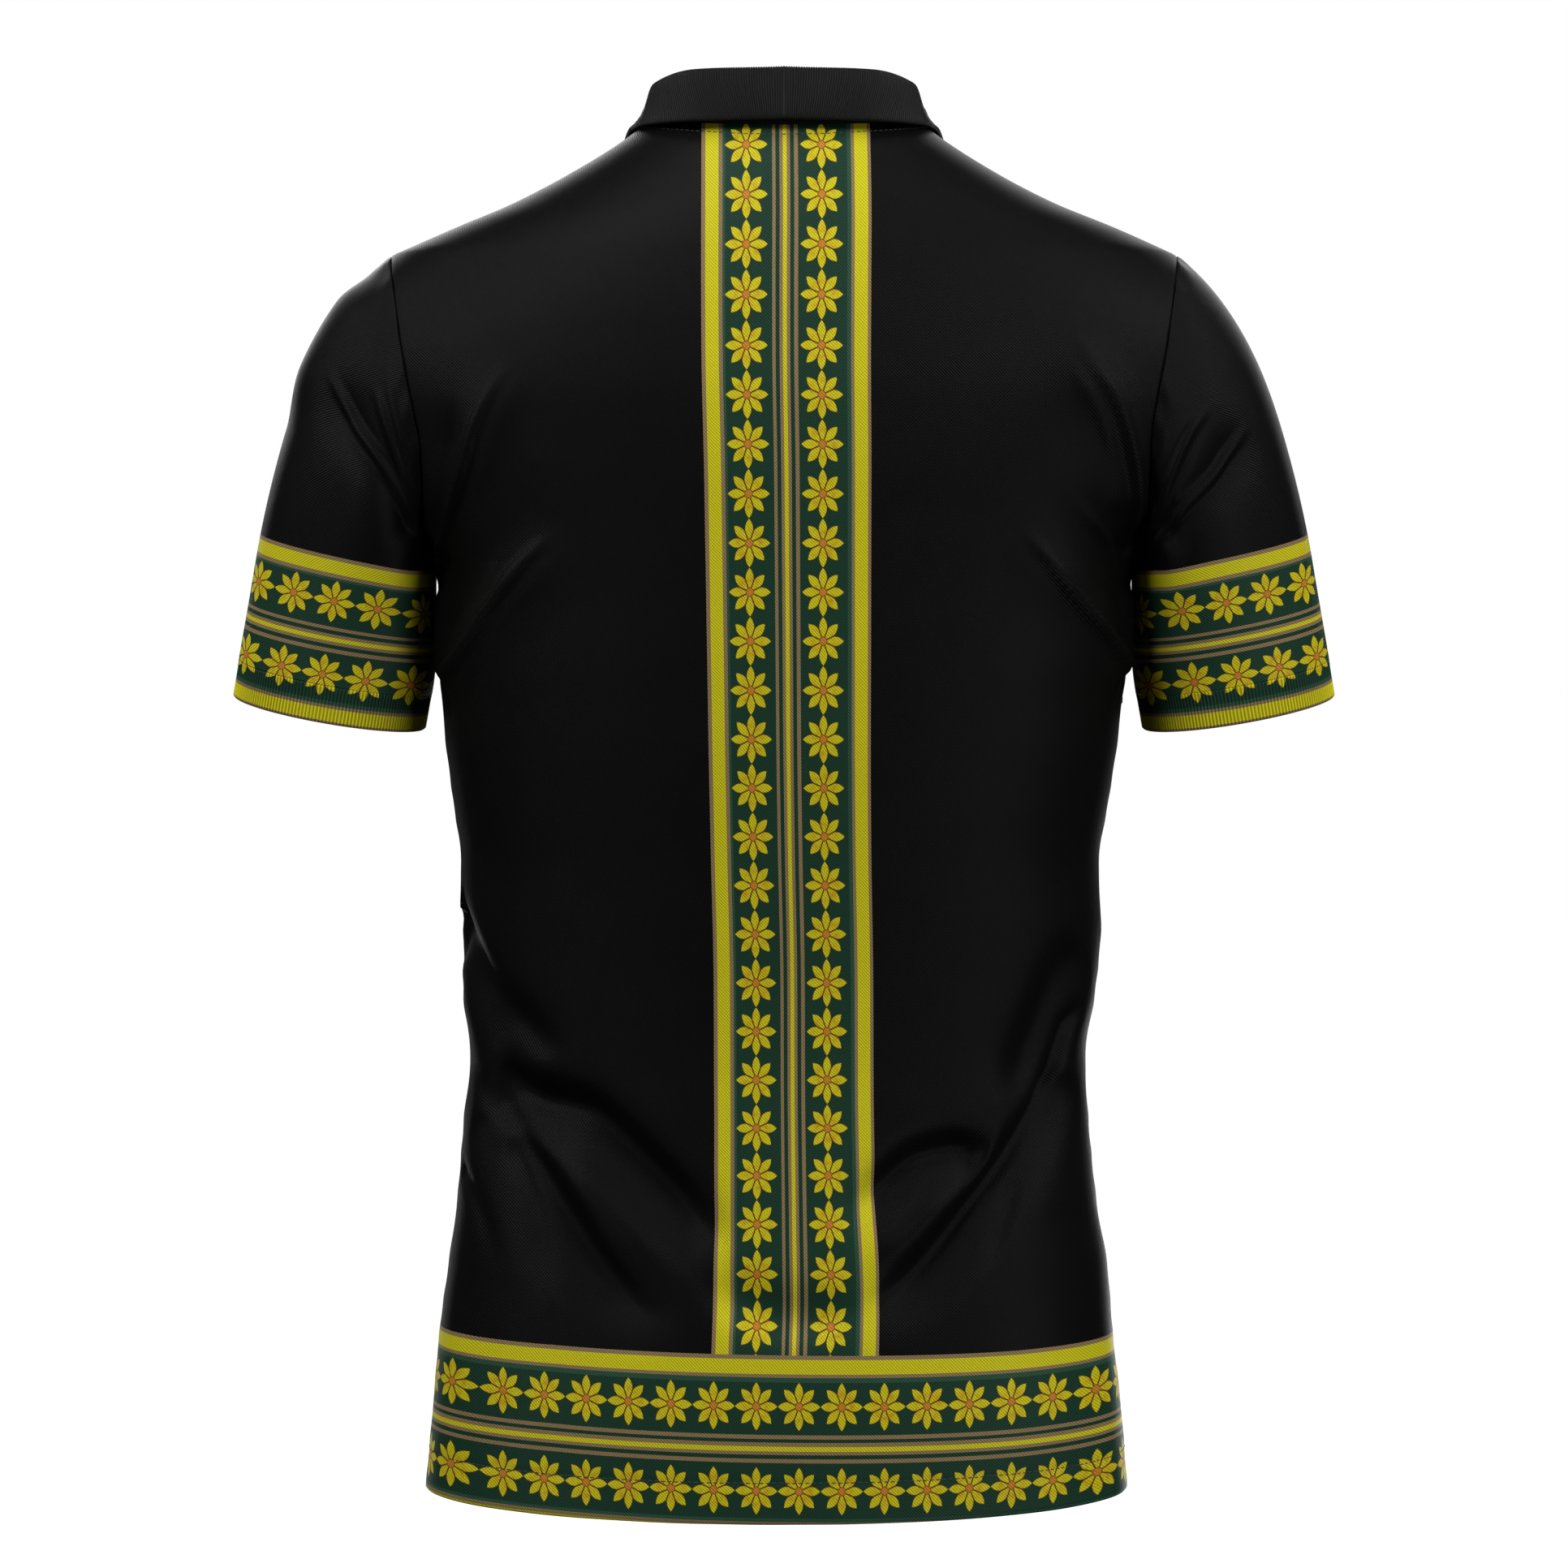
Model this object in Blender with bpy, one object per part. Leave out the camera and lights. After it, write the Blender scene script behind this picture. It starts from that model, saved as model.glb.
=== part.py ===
"""Polo shirt, filled out as when it is worn, in metres with +Z up.

The front faces -Y, the wearer's left is +X, and the origin lies midway between
the two high shoulder points, where the wearer's neck and shoulders hold it.
Lengths below are in centimetres, and heights are measured up from the hem.
"""
from collections import namedtuple

import bmesh
import bpy
import numpy as np
from mathutils import Vector

CM = 0.01
BACK, FRONT = 1.0, -1.0
LEFT, RIGHT = 1.0, -1.0

# Walls and the gap between pieces at a seam
CLOTH = 0.15
HEM_CLOTH = 0.3
RIB = 0.2
GAP = 0.04

# Heights above the hem
HEM_TURN = 2.1
HEM_DROP, SIDE_RISE, DROP_OVER = 0.42, 0.2, 22.0
ARMPIT = 48.1
SHOULDER_TIP = 64.4
NECK_POINT = 71.15

# Neck opening
NECK_SIDE = 7.5
BACK_NECK, BACK_NECK_RISE, BACK_NECK_CURVE = 70.5, 0.65, 2.0
FRONT_NECK, FRONT_NECK_RISE, FRONT_NECK_CURVE = 63.7, 7.45, 2.2

# Placket and buttons
PLACKET_HALF = 1.5
PLACKET_ROW = 3
OVERLAP = 0.1
BUTTON_HEIGHTS = (61.9, 57.4, 52.9)
BUTTON_RADIUS = 0.57
BUTTON_THICKNESS = 0.26

# Grid of the panels
NECK_CELLS = 6
SHOULDER_CELLS = 8
SIDE_CELLS = NECK_CELLS + SHOULDER_CELLS
ARMHOLE_ROWS = 14
SLEEVE_ROWS = 10
CUFF_ROWS = 2

# Half-widths to the wearer's left and right, depths behind and before the side
# seams, and the power of the oval, ring by ring from hem to armpit
Ring = namedtuple("Ring", "height left right back front power")
BODY = (
    Ring(0.0, 18.7, 17.95, 10.7, 10.3, 2.5),
    Ring(4.5, 18.3, 17.6, 10.8, 10.4, 2.5),
    Ring(8.0, 18.0, 17.2, 10.7, 10.4, 2.45),
    Ring(11.5, 17.55, 16.9, 10.4, 10.3, 2.4),
    Ring(15.0, 17.1, 16.3, 10.1, 10.2, 2.4),
    Ring(20.0, 16.7, 15.85, 9.7, 10.1, 2.35),
    Ring(22.4, 16.4, 15.75, 9.6, 10.1, 2.35),
    Ring(26.0, 16.8, 16.3, 9.7, 10.3, 2.35),
    Ring(29.5, 16.95, 16.6, 10.0, 10.5, 2.3),
    Ring(32.5, 16.85, 16.45, 10.3, 10.7, 2.3),
    Ring(36.0, 17.3, 16.95, 10.7, 10.9, 2.3),
    Ring(39.0, 17.7, 17.4, 11.0, 11.0, 2.3),
    Ring(41.2, 17.9, 17.65, 11.15, 11.1, 2.3),
    Ring(42.6, 18.0, 17.85, 11.25, 11.15, 2.3),
    Ring(45.0, 18.0, 17.95, 11.35, 11.2, 2.3),
    Ring(47.0, 18.05, 18.05, 11.4, 11.2, 2.3),
    Ring(ARMPIT, 18.3, 18.3, 11.4, 11.2, 2.3),
)

# Depths and power above the armpit
Yoke = namedtuple("Yoke", "height back front power")
YOKE = (
    Yoke(ARMPIT, 11.4, 11.2, 2.3),
    Yoke(52.0, 11.5, 11.2, 2.25),
    Yoke(56.0, 11.3, 10.8, 2.15),
    Yoke(60.0, 10.6, 9.8, 2.05),
    Yoke(63.7, 9.6, 8.4, 2.0),
    Yoke(67.0, 8.3, 7.4, 2.0),
    Yoke(69.5, 7.0, 6.8, 2.0),
    Yoke(70.5, 6.3, 6.6, 2.0),
    Yoke(NECK_POINT, 5.8, 6.4, 2.0),
)

# Distance of the shoulder seam and of the armhole seam from the middle
Reach = namedtuple("Reach", "height reach")
SHOULDER = (
    Reach(SHOULDER_TIP, 20.5),
    Reach(65.82, 17.3),
    Reach(67.05, 14.3),
    Reach(68.6, 11.3),
    Reach(70.72, 8.0),
    Reach(NECK_POINT, NECK_SIDE),
)
ARMHOLE = (
    Reach(ARMPIT, 18.3),
    Reach(53.9, 18.55),
    Reach(56.8, 19.1),
    Reach(59.1, 19.55),
    Reach(62.0, 20.05),
    Reach(SHOULDER_TIP, 20.5),
)
ARMHOLE_DEPTH = 7.2

# Height over which the panels' depth is evened out round the armpit's height
EVEN_OVER = 4.0
EVEN_STEPS = np.linspace(-1, 1, 7)

# Sleeve: where it ends, how that end is tilted, and how it leaves the armhole
CUFF_CENTRE = np.array((23.9, -1.2, 40.6))
CUFF_HALF_WIDTH, CUFF_HALF_DEPTH = 5.15, 5.5
CUFF_OUT = np.array((0.984, 0.0, 0.178))
CUFF_BACK = np.array((0.0, 0.993, -0.12))
CUFF_DEPTH = 1.95
CUFF_STEP = 0.05
Leave = namedtuple("Leave", "direction length")
LEAVE_TOP = Leave(np.array((0.82, 0.0, -0.57)), 20.0)
LEAVE_SIDE = Leave(np.array((0.6, 0.0, -0.8)), 15.0)
LEAVE_UNDER = Leave(np.array((-0.06, 0.0, -1.0)), 8.0)

# Collar, from the middle of the back (place 0) to the end in front (place 1):
# how far the fold stands above the seam and leans in, and its free edge
Station = namedtuple("Station", "place height lean edge_x edge_y edge_z bulge")
COLLAR = (
    Station(0.0, 2.85, 0.55, 0.0, 6.98, 70.67, 0.25),
    Station(0.2, 2.6, 0.6, 4.0, 6.18, 70.67, 0.2),
    Station(0.36, 2.12, 0.9, 7.2, 3.2, 70.8, -0.15),
    Station(0.435, 2.2, 1.0, 8.0, 0.0, 70.95, -0.6),
    Station(0.6, 1.9, 0.9, 8.6, -4.5, 69.3, 0.1),
    Station(0.8, 2.0, 0.75, 8.1, -7.9, 65.2, 0.3),
    Station(0.92, 2.1, 0.7, 6.2, -9.6, 61.9, 0.35),
    Station(1.0, 2.1, 0.6, 4.3, -10.5, 60.0, 0.35),
)
COLLAR_END = 0.25
COLLAR_ROLL = 0.5
STAND_ROWS, FALL_ROWS = 3, 5

# Folds of the cloth: how far the surface moves out (below zero: in), how wide
# the fold is above and below its line, the shares of its length over which it
# fades at its start and finish, and the line itself as (across, height)
Fold = namedtuple("Fold", "name face depth above below start finish line")
BODY_FOLDS = (
    Fold("left side drop", BACK, -0.8, 1.5, 1.7, 0.1, 0.3,
         ((17.2, 30.4), (15.8, 26.2), (13.8, 24.0), (11.5, 22.0))),
    Fold("left waist drop", BACK, -1.05, 1.7, 1.5, 0.1, 0.25,
         ((15.6, 21.7), (13.2, 20.1), (10.8, 19.6), (8.4, 17.7), (6.0, 15.4), (4.2, 13.6), (1.8, 12.2))),
    Fold("left hip drop", BACK, -0.65, 1.2, 1.4, 0.12, 0.3,
         ((14.9, 19.3), (13.4, 17.7), (11.6, 15.1), (10.0, 12.7), (7.5, 10.2), (5.0, 9.2))),
    Fold("left seam drop", BACK, -0.35, 1.0, 1.2, 0.1, 0.3,
         ((15.7, 20.5), (14.4, 17.5), (12.8, 14.1), (11.3, 10.4))),
    Fold("right side drop", BACK, -0.55, 1.3, 1.6, 0.15, 0.35,
         ((-15.6, 28.5), (-14.1, 26.1), (-12.6, 22.5), (-11.4, 20.1))),
    Fold("right hip drop", BACK, -0.8, 1.2, 1.5, 0.1, 0.25,
         ((-14.6, 22.6), (-13.7, 20.1), (-12.4, 18.2), (-11.5, 17.0), (-9.7, 14.9), (-7.6, 12.5), (-5.2, 10.6),
          (-3.0, 9.6))),
    Fold("right swag", BACK, -0.7, 1.5, 1.5, 0.12, 0.4,
         ((-10.6, 17.1), (-8.8, 17.7), (-7.1, 17.3), (-5.4, 16.0), (-2.6, 13.8))),
    Fold("left underarm ridge", BACK, 0.5, 1.4, 1.4, 0.35, 0.1,
         ((13.1, 58.2), (14.5, 56.3), (16.0, 53.3), (17.1, 51.3), (17.9, 49.0))),
    Fold("left lower ridge", BACK, 0.6, 1.5, 1.5, 0.4, 0.1,
         ((10.7, 49.7), (13.2, 47.4), (15.7, 44.6), (17.6, 42.4))),
    Fold("right underarm ridge", BACK, 0.5, 1.4, 1.4, 0.35, 0.1,
         ((-13.6, 59.8), (-15.3, 57.7), (-16.9, 55.4), (-17.8, 52.9), (-18.0, 49.8))),
    Fold("right lower ridge", BACK, 0.6, 1.5, 1.5, 0.4, 0.1,
         ((-11.3, 50.2), (-13.7, 47.7), (-16.0, 45.1), (-17.6, 42.8))),
    Fold("left side swell", BACK, 0.42, 1.4, 1.4, 0.25, 0.12,
         ((17.8, 47.4), (17.7, 46.0), (17.7, 44.2), (17.7, 42.0))),
    Fold("right side swell", BACK, 0.46, 1.4, 1.4, 0.25, 0.12,
         ((-17.8, 47.4), (-17.7, 46.0), (-17.6, 44.5), (-17.6, 42.3))),
    Fold("left front drop", FRONT, -0.9, 2.0, 1.7, 0.1, 0.35,
         ((16.4, 27.6), (13.6, 23.9), (10.2, 20.4), (7.4, 17.6))),
    Fold("left front hem drop", FRONT, -0.7, 1.6, 1.5, 0.1, 0.35,
         ((15.7, 21.6), (13.0, 17.0), (10.4, 12.9), (9.0, 10.2))),
    Fold("right front drop", FRONT, -0.8, 1.9, 1.6, 0.1, 0.35,
         ((-16.2, 28.6), (-13.2, 25.4), (-10.6, 21.3), (-8.8, 17.4))),
    Fold("right front hem drop", FRONT, -0.8, 1.6, 1.5, 0.1, 0.35,
         ((-15.0, 22.6), (-11.7, 17.6), (-8.2, 13.9), (-5.2, 11.8))),
    Fold("left chest ridge", FRONT, 0.5, 1.4, 1.4, 0.4, 0.1,
         ((11.8, 55.0), (14.2, 52.8), (16.2, 50.6), (17.7, 48.9))),
    Fold("left rib ridge", FRONT, 0.5, 1.5, 1.5, 0.4, 0.1,
         ((9.6, 47.9), (12.9, 46.4), (15.6, 44.3), (17.5, 41.8))),
    Fold("right chest ridge", FRONT, 0.5, 1.4, 1.4, 0.4, 0.1,
         ((-12.6, 56.6), (-14.9, 54.0), (-16.8, 51.2), (-17.8, 49.1))),
    Fold("right rib ridge", FRONT, 0.5, 1.5, 1.5, 0.4, 0.1,
         ((-10.3, 46.9), (-13.3, 45.1), (-16.1, 43.0), (-17.5, 41.0))),
)
SLEEVE_FOLDS = {
    LEFT: (
        Fold("back crease", BACK, -0.5, 1.5, 1.3, 0.3, 0.1,
             ((23.4, 57.8), (22.4, 55.6), (20.5, 53.0), (19.3, 51.0), (18.7, 49.6))),
        Fold("front crease", FRONT, -0.45, 1.4, 1.3, 0.3, 0.1,
             ((23.0, 56.2), (21.2, 53.4), (19.9, 51.2), (19.0, 49.8))),
        Fold("outer swell", BACK, 0.45, 3.0, 3.0, 0.3, 0.35,
             ((21.0, 63.6), (23.2, 61.0), (24.8, 58.0), (25.8, 55.2))),
    ),
    RIGHT: (
        Fold("back crease", BACK, -0.5, 1.4, 1.3, 0.3, 0.1,
             ((23.8, 55.4), (22.3, 52.6), (20.9, 51.0), (19.2, 49.2))),
        Fold("front crease", FRONT, -0.45, 1.4, 1.3, 0.3, 0.1,
             ((22.4, 57.0), (21.0, 54.0), (19.8, 51.8), (19.1, 50.2))),
    ),
}

# Colours and roughness of the materials
Paint = namedtuple("Paint", "name colour roughness")
KNIT = Paint("black knit", (0.012, 0.012, 0.013), 0.75)
RIB_KNIT = Paint("black rib knit", (0.01, 0.01, 0.011), 0.85)
BUTTON = Paint("black button", (0.02, 0.02, 0.022), 0.3)


def column(table, name):
    """One named column of a table."""
    return np.array([getattr(row, name) for row in table], float)


def smooth(places, values, at):
    """Monotone cubic through values given at rising places."""
    step = np.diff(places)
    rise = np.diff(values) / step
    slope = np.concatenate(([rise[0]], np.zeros(len(rise) - 1), [rise[-1]]))
    before, after = rise[:-1], rise[1:]
    same_way = before * after > 0
    slope[1:-1][same_way] = (2 * before * after)[same_way] / (before + after)[same_way]
    at = np.clip(at, places[0], places[-1])
    cell = np.clip(np.searchsorted(places, at, side="right") - 1, 0, len(step) - 1)
    t = (at - places[cell]) / step[cell]
    level = (1 + 2 * t) * (1 - t) ** 2 * values[cell] + t * t * (3 - 2 * t) * values[cell + 1]
    tilt = t * (1 - t) ** 2 * slope[cell] + t * t * (t - 1) * slope[cell + 1]
    return level + step[cell] * tilt


def read(table, name, at, by="height"):
    """A column of a table, read smoothly at places in another column."""
    return smooth(column(table, by), column(table, name), np.asarray(at, float))


def unit(vectors):
    """The vectors with length one."""
    return vectors / np.maximum(np.linalg.norm(vectors, axis=-1, keepdims=True), 1e-9)


def ease(share):
    """Rises smoothly from 0 to 1 as the share does."""
    share = np.clip(share, 0, 1)
    return share * share * (3 - 2 * share)


def run_length(points):
    """Length along a line of points, from its start to each of them."""
    steps = np.linalg.norm(np.diff(points, axis=0), axis=1)
    return np.concatenate(([0.0], np.cumsum(steps)))


def depth_and_power(height, face):
    """Depth of the section at a height, and the power of its oval."""
    name = "back" if face == BACK else "front"
    low = height <= ARMPIT
    depth = np.where(low, read(BODY, name, height), read(YOKE, name, height))
    power = np.where(low, read(BODY, "power", height), read(YOKE, "power", height))
    return depth, power


def section_reach(across, height, face):
    """Half-width of the oval on which the panel lies at a height."""
    depth, power = depth_and_power(height, face)
    side = np.where(across >= 0, read(BODY, "left", height), read(BODY, "right", height))
    rise = np.clip((height - ARMPIT) / (SHOULDER_TIP - ARMPIT), 0, 1)
    arm_y = ARMHOLE_DEPTH * 2 * np.sqrt(rise * (1 - rise))
    yoke = read(ARMHOLE, "reach", height) / (1 - (arm_y / depth) ** power) ** (1 / power)
    ridge = read(SHOULDER, "reach", height)
    return np.where(height <= ARMPIT, side, np.where(height <= SHOULDER_TIP, yoke, ridge))


def panel_depth(across, height, face):
    """How far the panel lies from the plane of the side seams."""
    depth, power = depth_and_power(height, face)
    share = np.clip(np.abs(across) / section_reach(across, height, face), 0, 1)
    return depth * (1 - share ** power) ** (1 / power), share


def on_panel(across, height, face):
    """Points of the smooth back or front panel, evened out across the armpit's height."""
    across, height = np.broadcast_arrays(np.asarray(across, float), np.asarray(height, float))
    share = panel_depth(across, height, face)[1]
    reach = EVEN_OVER * (1 - share ** 4) * np.exp(-((height - ARMPIT) / EVEN_OVER) ** 2)
    out = np.mean([panel_depth(across, height + step * reach, face)[0] for step in EVEN_STEPS], axis=0)
    return np.stack((across, face * out, height), -1)


def neckline(across, face):
    """Height of the neckline, on the back or the front."""
    share = np.clip(np.abs(across) / NECK_SIDE, 0, 1)
    if face == BACK:
        return BACK_NECK + BACK_NECK_RISE * share ** BACK_NECK_CURVE
    return FRONT_NECK + FRONT_NECK_RISE * share ** FRONT_NECK_CURVE


def top_height(across, face):
    """Height of a panel's top edge: the neckline, then the shoulder seam."""
    reach = column(SHOULDER, "reach")[::-1]
    height = column(SHOULDER, "height")[::-1]
    shoulder = smooth(reach, height, np.abs(across))
    return np.where(np.abs(across) < NECK_SIDE, neckline(across, face), shoulder)


def ring_places():
    """Places of a half panel's columns on the ring at the armpit."""
    ring = BODY[-1]
    turn = np.linspace(0, np.pi / 2, 400)
    x = ring.left * np.sin(turn) ** (2 / ring.power)
    y = ring.back * np.cos(turn) ** (2 / ring.power)
    run = run_length(np.stack((x, y), -1))
    first = np.interp(PLACKET_HALF, x, run)
    marks = np.concatenate(([0.0], np.linspace(first, run[-1], SIDE_CELLS)))
    return np.interp(marks, run, x)


def top_places(face):
    """Places of a half panel's columns on its top edge."""
    x = np.linspace(PLACKET_HALF, NECK_SIDE - 1e-6, 400)
    run = run_length(on_panel(x, neckline(x, face), face))
    neck = np.interp(np.linspace(0, run[-1], NECK_CELLS), run, x)
    neck[-1] = NECK_SIDE
    x = np.linspace(NECK_SIDE, SHOULDER[0].reach, 400)
    run = run_length(np.stack((x, top_height(x, face)), -1))
    shoulder = np.interp(np.linspace(0, run[-1], SHOULDER_CELLS + 1), run, x)
    return np.concatenate(([0.0], neck, shoulder[1:]))


def mirrored(half):
    """A half row from the middle out, made a whole row from right to left."""
    return np.concatenate((-half[:0:-1], half))


def row_heights():
    """Heights of the rows from hem to armpit, closest where the folds lie."""
    hem = (0.0, HEM_TURN, HEM_TURN + 0.2)
    folds = np.linspace(4.4, 35.9, 16)
    chest = (38.6, 41.3, 43.8, 46.0, 47.3, ARMPIT)
    return np.concatenate((hem, folds, chest))


def rise_shares():
    """Rise of the rows above the armpit, evenly spaced round the armhole."""
    return (1 - np.cos(np.pi * np.linspace(0, 1, ARMHOLE_ROWS + 1)[1:])) / 2


def hem_drop(share, height):
    """How much lower the cloth hangs in the middle, and higher at the side seams."""
    return (HEM_DROP - (HEM_DROP + SIDE_RISE) * share ** 2) * ease(1 - height / DROP_OVER)


def panel_points(face):
    """Grid of the smooth panel: rows from hem to top, columns right to left."""
    ring_x = mirrored(ring_places())
    share = ring_x / BODY[-1].left
    low_z = row_heights()[:, None]
    width = np.where(share > 0, read(BODY, "left", low_z), read(BODY, "right", low_z))
    low_x = ring_x + (width - BODY[-1].left) * share * np.abs(share) ** 2
    low = on_panel(low_x, low_z + 0 * low_x, face)
    low[..., 2] -= hem_drop(share, low_z)
    top_x = mirrored(top_places(face))
    rise = rise_shares()[:, None]
    arm = read(ARMHOLE, "reach", ARMPIT + (SHOULDER_TIP - ARMPIT) * rise)
    high_x = (share + (top_x / SHOULDER[0].reach - share) * rise) * arm
    middle = np.abs(ring_x) <= PLACKET_HALF + 1e-6
    high_x[:, middle] = ring_x[middle]
    high_z = ARMPIT + (top_height(top_x, face) - ARMPIT) * rise
    high = on_panel(high_x, high_z, face)
    high[-1, np.abs(top_x) >= NECK_SIDE, 1] = 0.0
    return np.concatenate((low, high))


ARM_ROW = len(row_heights()) - 1
TOP_ROW = ARM_ROW + ARMHOLE_ROWS
LAST_COLUMN = 2 * SIDE_CELLS
NECK_RIGHT, NECK_LEFT = SIDE_CELLS - NECK_CELLS, SIDE_CELLS + NECK_CELLS


class Sheet:
    """A grid of points on the outside of a piece, with its wall's direction."""

    def __init__(self, points, closed=False):
        self.points = points
        self.closed = closed
        self.shift = np.zeros_like(points)
        self.refresh()

    def refresh(self):
        """Works the normals out again from the points."""
        along = np.gradient(self.points, axis=0)
        if self.closed:
            across = np.roll(self.points, -1, axis=1) - np.roll(self.points, 1, axis=1)
        else:
            across = np.gradient(self.points, axis=1)
        normals = unit(np.cross(across, along))
        middle = self.points.mean(axis=(0, 1))
        if self.closed:
            middle = self.points.mean(axis=1, keepdims=True)
        if (normals * (self.points - middle)).sum() < 0:
            normals = -normals
        self.normals = normals
        self.lean = normals.copy()

    def wall(self, thickness, lift=0.0):
        """Outer and inner points of the wall."""
        square = np.clip((self.lean * self.normals).sum(-1, keepdims=True), 0.6, 1)
        outer = self.points + self.shift + lift * self.normals
        return outer, outer - self.lean * thickness / square


def fold_line(fold, ground):
    """The line of a fold laid on the ground points, finely divided."""
    line = np.array(fold.line)
    places = np.arange(len(line), dtype=float)
    fine = np.linspace(0, places[-1], 8 * len(line))
    across = smooth(places, line[:, 0], fine)
    height = smooth(places, line[:, 1], fine)
    return ground(across, height, fold.face)


def fold_offsets(points, folds, ground):
    """How far the folds move each point out along its normal."""
    flat = points.reshape(-1, 3)
    trough = np.zeros(len(flat))
    ridge = np.zeros(len(flat))
    for fold in folds:
        line = fold_line(fold, ground)
        run = run_length(line)
        away = flat[:, None, :] - line[None, :-1, :]
        step = np.diff(line, axis=0)
        share = (away * step).sum(-1) / np.maximum((step * step).sum(-1), 1e-9)
        share = np.clip(share, 0, 1)
        away = away - share[..., None] * step
        near = (away ** 2).sum(-1).argmin(axis=1)
        rows = np.arange(len(flat))
        gap = away[rows, near]
        along = (run[near] + share[rows, near] * np.diff(run)[near]) / run[-1]
        width = np.where(gap[:, 2] > 0, fold.above, fold.below)
        fade = ease(along / fold.start) * ease((1 - along) / fold.finish)
        offset = fold.depth * fade * np.exp(-(gap ** 2).sum(-1) / width ** 2)
        trough = np.minimum(trough, offset)
        ridge = np.maximum(ridge, offset)
    return (trough + ridge).reshape(points.shape[:-1])


def body_ground(across, height, face):
    """Points of the smooth body below a fold's line."""
    reach = section_reach(across, height, face)
    return on_panel(np.clip(across, -reach, reach), height, face)


def shared(one, other, rows, columns):
    """Gives two sheets the same normals where their edges meet."""
    both = unit(one.normals[rows, columns] + other.normals[rows, columns])
    for sheet in (one, other):
        sheet.normals[rows, columns] = both
        sheet.lean[rows, columns] = both


def part_seam(points, near, far, near_normal, far_normal):
    """Direction that parts two edges, and the lean of each wall there."""
    into_near = unit(near - points)
    into_far = unit(far - points)
    apart = unit(into_near - into_far)
    both = unit(near_normal + far_normal)
    valley = (near_normal * into_far).sum(-1, keepdims=True) > 0
    turn = (near_normal * far_normal).sum(-1, keepdims=True)
    own = np.where(valley, ease((0.4 - turn) / 0.8), 0.0)
    near_lean = unit(both * (1 - own) + near_normal * own)
    far_lean = unit(both * (1 - own) + far_normal * own)
    return apart, near_lean, far_lean


def join_panels(back, front):
    """Side and shoulder seams between the two panels."""
    low = np.arange(ARM_ROW + 1)
    high_right = np.arange(0, NECK_RIGHT + 1)
    high_left = np.arange(NECK_LEFT, LAST_COLUMN + 1)
    seams = (
        (low, 0 * low, low, 0 * low + 1),
        (low, 0 * low + LAST_COLUMN, low, 0 * low + LAST_COLUMN - 1),
        (0 * high_right + TOP_ROW, high_right, 0 * high_right + TOP_ROW - 1, high_right),
        (0 * high_left + TOP_ROW, high_left, 0 * high_left + TOP_ROW - 1, high_left),
    )
    for rows, columns, in_rows, in_columns in seams:
        into_back = unit(back.points[in_rows, in_columns] - back.points[rows, columns])
        into_front = unit(front.points[in_rows, in_columns] - front.points[rows, columns])
        apart = unit(into_back - into_front)
        back.shift[rows, columns] += apart * GAP / 2
        front.shift[rows, columns] -= apart * GAP / 2
        shared(back, front, rows, columns)


def share_edges(back, front):
    """Makes the normals of both panels agree along their common edges."""
    low = np.arange(ARM_ROW + 1)
    for edge in (0, LAST_COLUMN):
        shared(back, front, low, 0 * low + edge)
    for columns in (np.arange(0, NECK_RIGHT + 1), np.arange(NECK_LEFT, LAST_COLUMN + 1)):
        shared(back, front, 0 * columns + TOP_ROW, columns)


def make_panels():
    """The back and the front, folded and parted at their seams."""
    back = Sheet(panel_points(BACK))
    front = Sheet(panel_points(FRONT))
    share_edges(back, front)
    for sheet in (back, front):
        offset = fold_offsets(sheet.points, BODY_FOLDS, body_ground)
        sheet.points = sheet.points + sheet.normals * offset[..., None]
    for sheet in (back, front):
        sheet.refresh()
    join_panels(back, front)
    return back, front


def armhole_loop(hand):
    """Rows and panels round an armhole, from the armpit up the back."""
    up = np.arange(ARM_ROW, TOP_ROW + 1)
    down = np.arange(TOP_ROW - 1, ARM_ROW, -1)
    edge, inside = (LAST_COLUMN, LAST_COLUMN - 1) if hand == LEFT else (0, 1)
    return up, down, edge, inside


def sleeve_points(loop, turn):
    """Grid of a left sleeve from its armhole loop to the rib cuff's seam."""
    down = -unit(np.cross(CUFF_OUT, CUFF_BACK))
    centre = CUFF_CENTRE - down * CUFF_DEPTH
    top, side, under = -np.cos(turn), np.abs(np.sin(turn)), np.cos(turn)
    end = centre + np.outer(top, CUFF_OUT) * CUFF_HALF_WIDTH
    end = end + np.outer(np.sin(turn), CUFF_BACK) * CUFF_HALF_DEPTH
    pull = np.zeros((len(turn), 3))
    for amount, leave in ((top, LEAVE_TOP), (side, LEAVE_SIDE), (under, LEAVE_UNDER)):
        pull += np.outer(np.clip(amount, 0, 1) ** 2, leave.direction * leave.length)
    reach = np.linalg.norm(end - loop, axis=1)
    arrive = np.outer(reach, down)
    v = np.linspace(0, 1, SLEEVE_ROWS + 1)[:, None, None]
    return ((1 + 2 * v) * (1 - v) ** 2 * loop + v * (1 - v) ** 2 * pull
            + v * v * (3 - 2 * v) * end + v * v * (v - 1) * arrive)


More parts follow.
